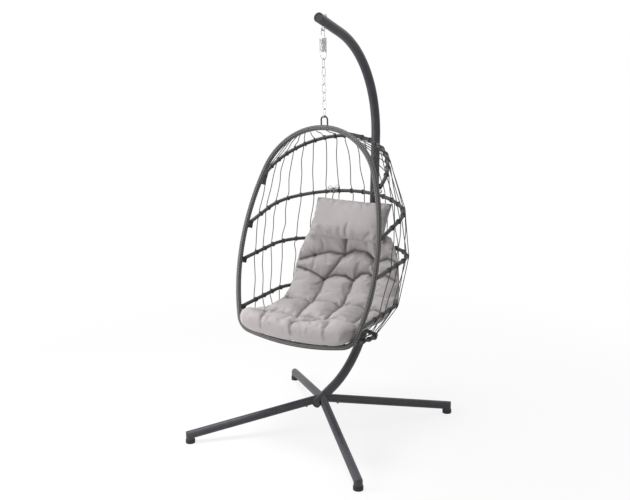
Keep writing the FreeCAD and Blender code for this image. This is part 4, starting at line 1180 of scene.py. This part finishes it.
@dataclass
class SeatCushion:
    """Quilted pad that lies on the lower ribs and bends up behind the back."""

    thickness: float = 100 * MM
    half_width: float = 302 * MM
    seat_half_width: float = 274 * MM
    bend_half_width: float = 298 * MM
    top_half_width: float = 250 * MM
    corner: float = 52 * MM
    lip: float = 16 * MM
    front_curl: float = 26 * MM
    curl: float = 44 * MM
    front: float = 36 * MM
    front_roll: float = 98 * MM
    bend: float = 190 * MM
    lean: float = math.radians(15.5)
    back_run: float = 228 * MM
    gap: float = 0.3 * MM
    rim_share: float = 0.66
    edge_power: float = 4.5
    upper_run: float = 200 * MM
    right_bulge: float = 12 * MM
    right_drop: float = 0.45
    tuft_depth: float = 40 * MM
    tuft_reach: float = 17 * MM
    crease_gain: float = 2.1
    grid: Envelope = field(default_factory=lambda: Envelope(104, 144))
    filling: Filling = field(default_factory=Filling)
    tufts: tuple[Spot, ...] = (
        (-185, 574), (-20, 596), (161, 577),
        (-117, 455), (42, 473), (158, 500),
        (-200, 262), (-97, 241), (62, 257), (199, 282),
        (-195, 0), (-33, 20), (110, 30), (227, 61))
    creases: tuple[Crease, ...] = (
        Crease(15, 55, ((-262, 545), (-185, 574), (-100, 600), (-20, 596))),
        Crease(20, 60, ((-20, 596), (30, 622), (100, 620), (161, 577))),
        Crease(14, 50, ((161, 577), (215, 602), (262, 590))),
        Crease(13, 40, ((-20, 596), (-10, 700))),
        Crease(12, 45, ((-20, 596), (-60, 530), (-117, 455))),
        Crease(7, 30, ((161, 577), (155, 620), (160, 660))),
        Crease(14, 50, ((-272, 505), (-190, 490), (-117, 455))),
        Crease(19, 60, ((-117, 455), (-60, 488), (0, 490), (42, 473))),
        Crease(19, 60, ((42, 473), (80, 512), (125, 520), (158, 500))),
        Crease(13, 50, ((158, 500), (215, 520), (275, 500))),
        Crease(12, 45, ((161, 577), (158, 500))),
        Crease(15, 50, ((-117, 455), (-118, 350), (-97, 241))),
        Crease(15, 50, ((42, 473), (40, 370), (62, 257))),
        Crease(12, 45, ((158, 500), (175, 400), (199, 282))),
        Crease(14, 50, ((-275, 300), (-200, 262), (-145, 268), (-97, 241))),
        Crease(20, 60, ((-97, 241), (-55, 278), (20, 284), (62, 257))),
        Crease(20, 60, ((62, 257), (100, 290), (155, 305), (199, 282))),
        Crease(13, 45, ((199, 282), (235, 300), (270, 290))),
        Crease(13, 50, ((-97, 241), (-75, 130), (-33, 20))),
        Crease(13, 50, ((62, 257), (80, 140), (110, 30))),
        Crease(12, 45, ((199, 282), (215, 170), (227, 61))),
        Crease(12, 50, ((-300, 20), (-195, 0), (-115, 32), (-33, 20))),
        Crease(15, 50, ((-33, 20), (35, 50), (110, 30))),
        Crease(13, 50, ((110, 30), (170, 62), (227, 61), (290, 50))),
        Crease(11, 34, ((110, 30), (60, -20), (4, -70), (4, -130))),
        Crease(7, 30, ((-195, 0), (-160, -60), (-155, -130))),
        Crease(7, 30, ((160, -20), (180, -70), (185, -130))))
    pleats: int = 9
    pleat_depth: float = 5.6 * MM
    pleat_reach: float = 36 * MM
    # Breadth of the painted shade in the folds, and its reach round the tufts.
    fold_shade_breadth: float = 6.2 * MM
    tuft_shade: float = 12 * MM
    stitch_hold: float = 6 * MM
    tuft_hold: float = 9 * MM

    def __post_init__(self) -> None:
        """Finds the middle line from the hoop's lower rail and the third rib."""
        rail = HOOP.at(0, HOOP.height)
        self.level = rail.z + HOOP.wicker / 2 + self.gap + self.thickness / 2
        rib = RIBS[2].at(0, RIBS[2].depth)
        turn = math.pi / 2 - self.lean
        way_y, way_z = math.cos(turn), math.sin(turn)
        leaning_y = rib.y - (RIBS[2].wicker / 2 + self.gap + self.thickness / 2 / way_z)
        corner_y = leaning_y - (rib.z - self.level) * way_y / way_z
        self.start = rail.y - self.front + self.front_roll
        self.seat_run = corner_y - self.bend * math.tan(turn / 2) - self.start
        self.turn = turn
        self.bend_length = turn * self.bend
        self.length = self.seat_run + self.bend_length + self.back_run

    def middle(self, s: Points) -> tuple[Points, Points, Points]:
        """Place of the middle line and its direction to the seated side.

        Args:
            s: Distances along the line.

        Returns:
            Its y, its z and its angle at each distance.
        """
        angle = np.clip((s - self.seat_run) / self.bend, 0, self.turn)
        past = np.maximum(s - self.seat_run - self.bend_length, 0)
        y = self.start + np.minimum(s, self.seat_run) + self.bend * np.sin(angle) + past * math.cos(self.turn)
        z = self.level + self.bend * (1 - np.cos(angle)) + past * math.sin(self.turn)
        return y, z, angle

    def profile(self, s: Points) -> tuple[Points, Points, Points]:
        """Section of the pad at places along it.

        Args:
            s: Distances along the middle line.

        Returns:
            Half width, half thickness and curl of the sides.
        """
        first, last = -self.front_roll, self.length
        seat, turned = self.seat_run, self.seat_run + self.bend_length
        sections = [
            (first, self.half_width - self.corner * 0.8, self.front_curl * 0.4),
            (first + 16 * MM, self.half_width - self.corner * 0.36, self.front_curl * 0.8),
            (first / 2, self.half_width - 3 * MM, self.front_curl),
            (20 * MM, self.half_width, self.front_curl * 0.8),
            (seat * 0.5, self.seat_half_width + 4 * MM, self.front_curl * 0.3),
            (seat, self.seat_half_width + 21 * MM, self.curl * 0.2),
            (seat + self.bend_length * 0.6, self.bend_half_width, self.curl * 0.5),
            (turned, self.bend_half_width - 8 * MM, self.curl),
            (last - 130 * MM, self.bend_half_width - 26 * MM, self.curl),
            (last - 60 * MM, self.top_half_width - 4 * MM, self.curl * 0.8),
            (last - self.lip, self.top_half_width - 28 * MM, self.curl * 0.6),
            (last, self.top_half_width - self.corner - 20 * MM, self.curl * 0.55)]
        marks, widths, curls = zip(*sections)
        to_top = np.clip((last - s) / (self.thickness * 0.5), 0, 1)
        slim = np.interp(s, [seat, seat + 100 * MM, last - 120 * MM, last], [1.0, 0.94, 0.97, 0.86])
        half = self.thickness / 2 * np.sqrt(1 - (1 - to_top) ** 2.2) * slim
        return np.interp(s, marks, widths), half, np.interp(s, marks, curls)

    def nose(self, s: Points, length: float, power: float) -> Points:
        """Rounding of one side of the front roll.

        Args:
            s: Distances along the middle line.
            length: How far back the rounding runs.
            power: How square it is.

        Returns:
            Shares of the full thickness, from 0 at the front to 1.
        """
        return np.sqrt(1 - (1 - np.clip((s + self.front_roll) / length, 0, 1)) ** power)

    def relief(self, x: Points, s: Points) -> Points:
        """How deep the quilting lies under the crown of the pad.

        Args:
            x: Places across the cloth.
            s: Places along it.

        Returns:
            The depths in metres.
        """
        deep = np.zeros(x.shape)
        for crease in self.creases:
            away = np.clip(crease.away(x, s) / (crease.reach * MM), 0, 1)
            most = self.crease_gain * crease.depth * MM
            deep = np.maximum(deep, most * (1 - np.sqrt(1 - (1 - away) ** 2)))
        for number, (across, along) in enumerate(self.tufts):
            dx, ds = x - across * MM, s - along * MM
            away = np.hypot(dx, ds)
            pit = self.tuft_depth * np.exp(-(away / self.tuft_reach) ** 1.15)
            angle = np.arctan2(ds, dx)
            wave = np.cos(self.pleats * angle + 1.9 * number + 0.8 * np.sin(2 * angle + number))
            pleat = self.pleat_depth * wave * np.exp(-away / self.pleat_reach)
            pleat = pleat * np.clip(away / (14 * MM), 0, 1)
            deep = np.maximum(deep, pit) + pleat
        return deep

    def build(self) -> bpy.types.Object:
        """Makes the pad.

        Returns:
            The piece.
        """
        first, last = -self.front_roll, self.length
        share = self.grid.spread(self.grid.across, 0.28)[:, None]
        s = (first + (self.grid.spread(self.grid.along, 0.2) + 1) / 2 * (last - first))[None, :]
        y, z, angle = self.middle(s)
        wide, half, curl = self.profile(s)
        x = wide * share
        square = np.interp(s, [first, first + 80 * MM, 60 * MM], [1.0, 1.0, 0.0])
        side = np.sqrt(np.clip(1 - np.abs(share) ** (self.edge_power + 5 * square), 0, 1))
        crown = 1 - self.rim_share
        swell = self.rim_share + crown * (1 - share ** 2) * (1 - square) + crown * square
        body = swell * side * half
        deep = self.relief(x, s + 0 * x) * np.clip(body / (30 * MM), 0, 1)
        shown = (body - deep) * self.nose(s, 34 * MM, 3.0)
        hidden = (body - 0.35 * deep) * self.nose(s, 44 * MM, 2.2)
        upper = np.clip((s - self.seat_run) / self.upper_run, 0, 1)
        lift = curl * share ** 2 * np.where(share > 0, 1 - self.right_drop * upper, 1.0)
        x = x + self.right_bulge * upper * np.clip((last - s) / (100 * MM), 0, 1)
        sheets = [np.stack([x + 0 * y, y - np.sin(angle) * height, z + np.cos(angle) * height], -1)
                  for height in (lift + shown, lift - hidden)]
        flat = np.stack([wide * share, s + 0 * x], -1)
        pad, sheet = self.grid.make("seat_pad", *sheets, flat)
        pins = self.pins(flat[..., 0], flat[..., 1], sheet)
        # Painted shade: a share for each vertex that darkens the cloth in its folds and round its tufts.
        lost = self.folds(flat[..., 0], flat[..., 1]).ravel()
        fold_shade = np.concatenate([lost, np.zeros(len(sheet) - x.size)]).astype(np.float32)
        pad.data.attributes.new("fold_shade", "FLOAT", "POINT").data.foreach_set("value", fold_shade)
        self.filling.blow(pad, pins)
        self.filling.smooth(pad)
        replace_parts(pad, "seat_cushion")
        return pad

    def folds(self, x: Points, s: Points) -> Points:
        """How much painted shade darkens the cloth's colour in the depth of its folds and round its tufts.

        Args:
            x: Places across the cloth.
            s: Places along it.

        Returns:
            Shares from 0 to 1.
        """
        full_depth = 14
        lost = np.zeros(x.shape)
        for crease in self.creases:
            away = crease.away(x, s) / self.fold_shade_breadth
            lost = np.maximum(lost, min(1.0, crease.depth / full_depth) * np.exp(-away ** 1.4))
        for across, along in self.tufts:
            away = np.hypot(x - across * MM, s - along * MM) / self.tuft_shade
            lost = np.maximum(lost, np.exp(-away ** 1.5))
        return lost

    def pins(self, x: Points, s: Points, sheet: Points) -> Points:
        """How firmly the quilting holds each vertex of the cover.

        Args:
            x: Places across the cloth.
            s: Places along it.
            sheet: For each vertex 1 on the back sheet, 0 on the front and 0.5 on the rim.

        Returns:
            Shares from 0 to 1.
        """
        held_depth, most, rim, behind = 18, 0.95, 0.55, 0.85
        firm = np.zeros(x.shape)
        for crease in self.creases:
            held = min(most, crease.depth / held_depth)
            firm = np.maximum(firm, (crease.away(x, s) < self.stitch_hold) * held)
        for across, along in self.tufts:
            away = np.hypot(x - across * MM, s - along * MM)
            firm = np.maximum(firm, np.clip(1.4 - away / self.tuft_hold, 0, 1))
        inner = firm[1:-1, 1:-1].ravel()
        pins = np.where(sheet == 0.5, rim, 0.0)
        pins[:x.size] = np.maximum(pins[:x.size], firm.ravel())
        pins[x.size:] = np.maximum(behind, inner)
        return pins


@dataclass
class HeadPillow:
    """Plain pillow that leans against the second rib."""

    width: float = 420 * MM
    height: float = 205 * MM
    thickness: float = 92 * MM
    drop: float = 475 * MM
    behind: float = 222 * MM
    lean: float = math.radians(29)
    filled: float = 0.92
    ruffle: float = 2.0 * MM
    tuck: float = 1.8 * MM
    grid: Envelope = field(default_factory=lambda: Envelope(72, 40))
    filling: Filling = field(default_factory=lambda: Filling(pressure=4.0, ease=0.06, most=10 * MM))

    def __post_init__(self) -> None:
        """Finds its middle and its directions."""
        self.centre = np.array([0.0, HOOP.hang_y + self.behind, HOOP.crown.z - self.drop])
        self.up = np.array([0.0, math.sin(self.lean), math.cos(self.lean)])
        self.out = np.array([0.0, -math.cos(self.lean), math.sin(self.lean)])

    def build(self) -> bpy.types.Object:
        """Makes the pillow.

        Returns:
            The piece.
        """
        fine, slow, drift = 7.8 * MM, 23.1 * MM, 41 * MM
        front_hold, rim_hold, back_hold = 0.02, 0.7, 0.75
        a = self.grid.spread(self.grid.across, 0.22)[:, None]
        b = self.grid.spread(self.grid.along, 0.22)[None, :]
        x = self.width / 2 * a * (1 - 0.045 * (1 - b * b))
        h = self.height / 2 * b * (1 - 0.05 * (1 - a * a))
        body = self.thickness / 2 * self.filled * np.sqrt(np.clip((1 - a ** 4) * (1 - b ** 4), 0, 1))
        low = np.exp(-(1 + b) / 0.33) * np.clip((1 + b) / 0.05, 0, 1) * (1 - a ** 4)
        folds = self.ruffle * low * (np.cos(x / fine + 1.3 * np.sin(x / drift)) + 0.4 * np.cos(x / slow))
        inward = 1 - np.abs(a)
        sides = np.exp(-inward / 0.16) * np.clip(inward / 0.04, 0, 1) * (1 - b ** 4)
        tucks = self.tuck * sides * np.cos(h / (6.1 * MM) + 2 * a)
        front = self.lay(x, h, body + folds + tucks)
        back = self.lay(x, h, -body * 0.97)
        pillow, sheet = self.grid.make("head_pillow", front, back, np.stack([x, h], -1))
        pins = np.where(sheet == 0.5, rim_hold, np.where(sheet == 1.0, back_hold, front_hold))
        self.filling.blow(pillow, pins)
        self.filling.smooth(pillow)
        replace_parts(pillow, "headrest_pillow")
        return pillow

    def lay(self, x: Points, h: Points, depth: Points) -> Points:
        """Points of one sheet.

        Args:
            x: Places across the pillow.
            h: Places up it.
            depth: Heights over its middle.

        Returns:
            The points.
        """
        x, h, depth = np.broadcast_arrays(x, h, depth)
        across = np.array([1.0, 0.0, 0.0])
        return self.centre + x[..., None] * across + h[..., None] * self.up + depth[..., None] * self.out


@dataclass
class PillowTies:
    """Ribbons from the pillow's upper seam round the second rib, each ended in a small bow."""

    place: float = 126 * MM
    seam: float = 0.475
    breadth: float = 3.6 * MM
    ply: float = 0.9 * MM
    loops: tuple[tuple[int, float], ...] = ((1, 30 * MM), (-1, 26 * MM))
    rib: RibShape = field(default_factory=lambda: RIBS[1])

    def ribbon(self, tube: TubeMesh, route: Sequence[Vector]) -> None:
        """Adds one flat ribbon along a smoothed route.

        Args:
            tube: What it is added to.
            route: Points that it passes.
        """
        tube.add(even(smooth_line(route), 2 * MM), self.oval, 12)

    def oval(self, length: Points, angle: Points) -> Points:
        """Radius of the ribbon's flat oval section.

        Args:
            length: Lengths along the ribbon.
            angle: Angles round it.

        Returns:
            The radius at each length and angle.
        """
        radius = 1 / np.sqrt((np.cos(angle) / self.breadth) ** 2 + (np.sin(angle) / self.ply) ** 2)
        return radius + 0 * length

    def bow(self, tube: TubeMesh, knot: Vector, along: Vector, front: Vector, rise: Vector) -> None:
        """Adds one bow with two loops and two ends.

        Args:
            tube: What it is added to.
            knot: The bow's middle.
            along: Direction of the rib.
            front: Direction to the front.
            rise: Direction upwards.
        """
        for way, size in self.loops:
            loop = [knot, knot + along * way * size * 0.55 + rise * size * 0.5,
                    knot + along * way * size + rise * size * 0.42 + front * 5 * MM,
                    knot + along * way * size * 0.9 + rise * size * 0.12 + front * 8 * MM,
                    knot + along * way * size * 0.4 + rise * 2 * MM + front * 4 * MM, knot]
            self.ribbon(tube, loop)
            tail = [knot, knot + along * way * size * 0.35 + front * 9 * MM - rise * 3 * MM,
                    knot + along * way * size * 0.6 + front * 12 * MM - rise * size * 0.7]
            self.ribbon(tube, tail)
        lump = [knot - along * 3.5 * MM, knot + rise * 1.5 * MM, knot + along * 3.5 * MM]
        tube.add(even(smooth_line(lump), 1 * MM), 3.2 * MM, 10)

    def build(self, pillow: HeadPillow) -> None:
        """Makes both ties.

        Args:
            pillow: The pillow that they hold.
        """
        line = self.rib.line(2 * MM)
        tube = TubeMesh()
        rise = Vector((0, 0, 1))
        for side in Side:
            place = side.value * self.place
            index = int(np.argmin(np.abs(line[:, 0] - place)))
            here = Vector(line[index])
            along = (Vector(line[index + 1]) - Vector(line[index - 1])).normalized()
            front = along.cross(rise).normalized()
            front = front if front.y < 0 else -front
            reach = self.rib.wicker / 2 + self.ply + 0.8 * MM
            seam = Vector(pillow.centre + pillow.up * pillow.height * self.seam) + Vector((place, 0, 0))
            turns = [here + (front * math.cos(a) + rise * math.sin(a)) * reach + along * (a * 0.7 * MM)
                     for a in np.linspace(-0.9, math.tau * 1.2, 26)]
            self.ribbon(tube, [seam, seam.lerp(turns[0], 0.5)] + turns)
            self.bow(tube, here + rise * (reach + 2.2 * MM) + front * 2 * MM, along, front, rise)
        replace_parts(tube.piece("pillow_bows", TIE_CORD, Body.BASKET), "pillow_ties")


@dataclass(frozen=True)
class Lamp:
    """One square soft light aimed at a point."""

    name: str
    place: Place
    aim: Place
    size: float
    watts: float

    def build(self) -> None:
        """Makes the light."""
        data = bpy.data.lights.new(self.name, "AREA")
        data.size = self.size
        data.energy = self.watts
        lamp = bpy.data.objects.new(self.name, data)
        lamp.visible_camera = False
        lamp.location = self.place
        way = Vector(self.aim) - Vector(self.place)
        lamp.rotation_euler = way.to_track_quat("-Z", "Y").to_euler()
        bpy.context.scene.collection.objects.link(lamp)


MIDDLE = (0.0, 0.0, 0.9)
LAMPS = (
    Lamp("key_light", (-1.5, -1.5, 1.15), (0.0, 0.0, 0.75), 0.9, 36),
    Lamp("top_light", (-0.7, -0.25, 4.1), MIDDLE, 1.1, 98),
    Lamp("fill_light", (3.4, -1.6, 2.0), MIDDLE, 2.4, 14),
    Lamp("back_light", (0.8, 3.6, 3.2), MIDDLE, 2.4, 16),
)


@dataclass
class Studio:
    """Pale floor, soft lights and the photograph's camera."""

    eye: Vector = field(default_factory=lambda: Vector((2.216, -3.6066, 1.928)))
    heading: Vector = field(default_factory=lambda: Vector((-0.533, 0.846, 0.0)))
    pitch: float = math.radians(13.87)
    roll: float = math.radians(-1.14)
    lens: float = 52.75
    sensor: float = 36.0
    floor_size: float = 30.0
    shadow_reach: Spot = (0.9, 2.4)
    shadow_white: float = 0.84
    world_light: float = 0.22

    def camera(self) -> None:
        """Places the camera where the photograph was taken."""
        data = bpy.data.cameras.new("camera")
        data.lens = self.lens
        data.sensor_width = self.sensor
        data.sensor_fit = "HORIZONTAL"
        camera = bpy.data.objects.new("camera", data)
        look = self.heading.normalized() * math.cos(self.pitch) - Vector((0, 0, math.sin(self.pitch)))
        turned = look.to_track_quat("-Z", "Y").to_matrix().to_4x4()
        camera.matrix_world = Matrix.Translation(self.eye) @ turned @ Matrix.Rotation(self.roll, 4, "Z")
        bpy.context.scene.collection.objects.link(camera)
        bpy.context.scene.camera = camera

    @staticmethod
    def white_to_camera(sheet: NodeSheet) -> bpy.types.NodeSocket:
        """Tells where the camera, a gloss or a glass looks at the floor.

        Args:
            sheet: The floor's material.

        Returns:
            A factor that is 1 there and 0 elsewhere.
        """
        rays = sheet.add("LightPath")
        seen = sheet.sum("MAXIMUM", rays.outputs["Is Camera Ray"], rays.outputs["Is Glossy Ray"])
        return sheet.sum("MAXIMUM", seen, rays.outputs["Is Transmission Ray"])

    def floor(self) -> None:
        """Lays the floor, which keeps a soft shadow."""
        half = self.floor_size / 2
        mesh = bpy.data.meshes.new("floor")
        corners = [(-half, -half, 0), (half, -half, 0), (half, half, 0), (-half, half, 0)]
        mesh.from_pydata(corners, [], [(0, 1, 2, 3)])
        floor = bpy.data.objects.new("floor", mesh)
        bpy.context.scene.collection.objects.link(floor)
        sheet = NodeSheet("floor_paper")
        sheet.set(Base_Color=(0.9, 0.9, 0.9), Roughness=0.9)
        glow = sheet.add("Emission", {"Color": (1.0, 1.0, 1.0), "Strength": 1.0})
        spot = sheet.add("VectorMath", {0: sheet.place()}, operation="LENGTH").outputs["Value"]
        near, far = self.shadow_reach
        clear = sheet.add("MapRange", {"Value": spot, "From Min": near, "From Max": far,
                                       "To Min": self.shadow_white, "To Max": 1.0})
        share = sheet.sum("MULTIPLY", self.white_to_camera(sheet), clear.outputs[0])
        output = sheet.tree.nodes["Material Output"]
        mixed = sheet.add("MixShader", {0: share, 1: sheet.shader.outputs[0], 2: glow.outputs[0]})
        sheet.tree.links.new(mixed.outputs[0], output.inputs["Surface"])
        mesh.materials.append(sheet.material)

    def world(self) -> None:
        """Lights the scene evenly and shows white behind the object."""
        world = bpy.data.worlds.new("studio")
        world.use_nodes = True
        tree = world.node_tree
        background = tree.nodes["Background"]
        rays = tree.nodes.new("ShaderNodeLightPath")
        seen = tree.nodes.new("ShaderNodeMath")
        seen.operation = "MAXIMUM"
        tree.links.new(rays.outputs["Is Camera Ray"], seen.inputs[0])
        tree.links.new(rays.outputs["Is Glossy Ray"], seen.inputs[1])
        strength = tree.nodes.new("ShaderNodeMapRange")
        strength.inputs["To Min"].default_value = self.world_light
        strength.inputs["To Max"].default_value = 1.0
        tree.links.new(seen.outputs[0], strength.inputs["Value"])
        tree.links.new(strength.outputs[0], background.inputs["Strength"])
        background.inputs["Color"].default_value = (1.0, 1.0, 1.0, 1.0)
        bpy.context.scene.world = world

    def build(self) -> None:
        """Sets up the studio."""
        self.camera()
        self.floor()
        self.world()
        for lamp in LAMPS:
            lamp.build()
        bpy.context.scene.view_settings.view_transform = "Standard"


def main() -> None:
    """Builds the chair's sub-assemblies in order."""
    logging.basicConfig(level=logging.INFO, format="%(name)s: %(message)s")
    Stand().build()
    Hanger().build()
    WovenHoop().build()
    for rib in RIBS:
        WoundRib(rib).build()
    Cords().build()
    SeatCushion().build()
    pillow = HeadPillow()
    pillow.build()
    PillowTies().build(pillow)
    Studio().build()


if __name__ == "__main__":
    main()
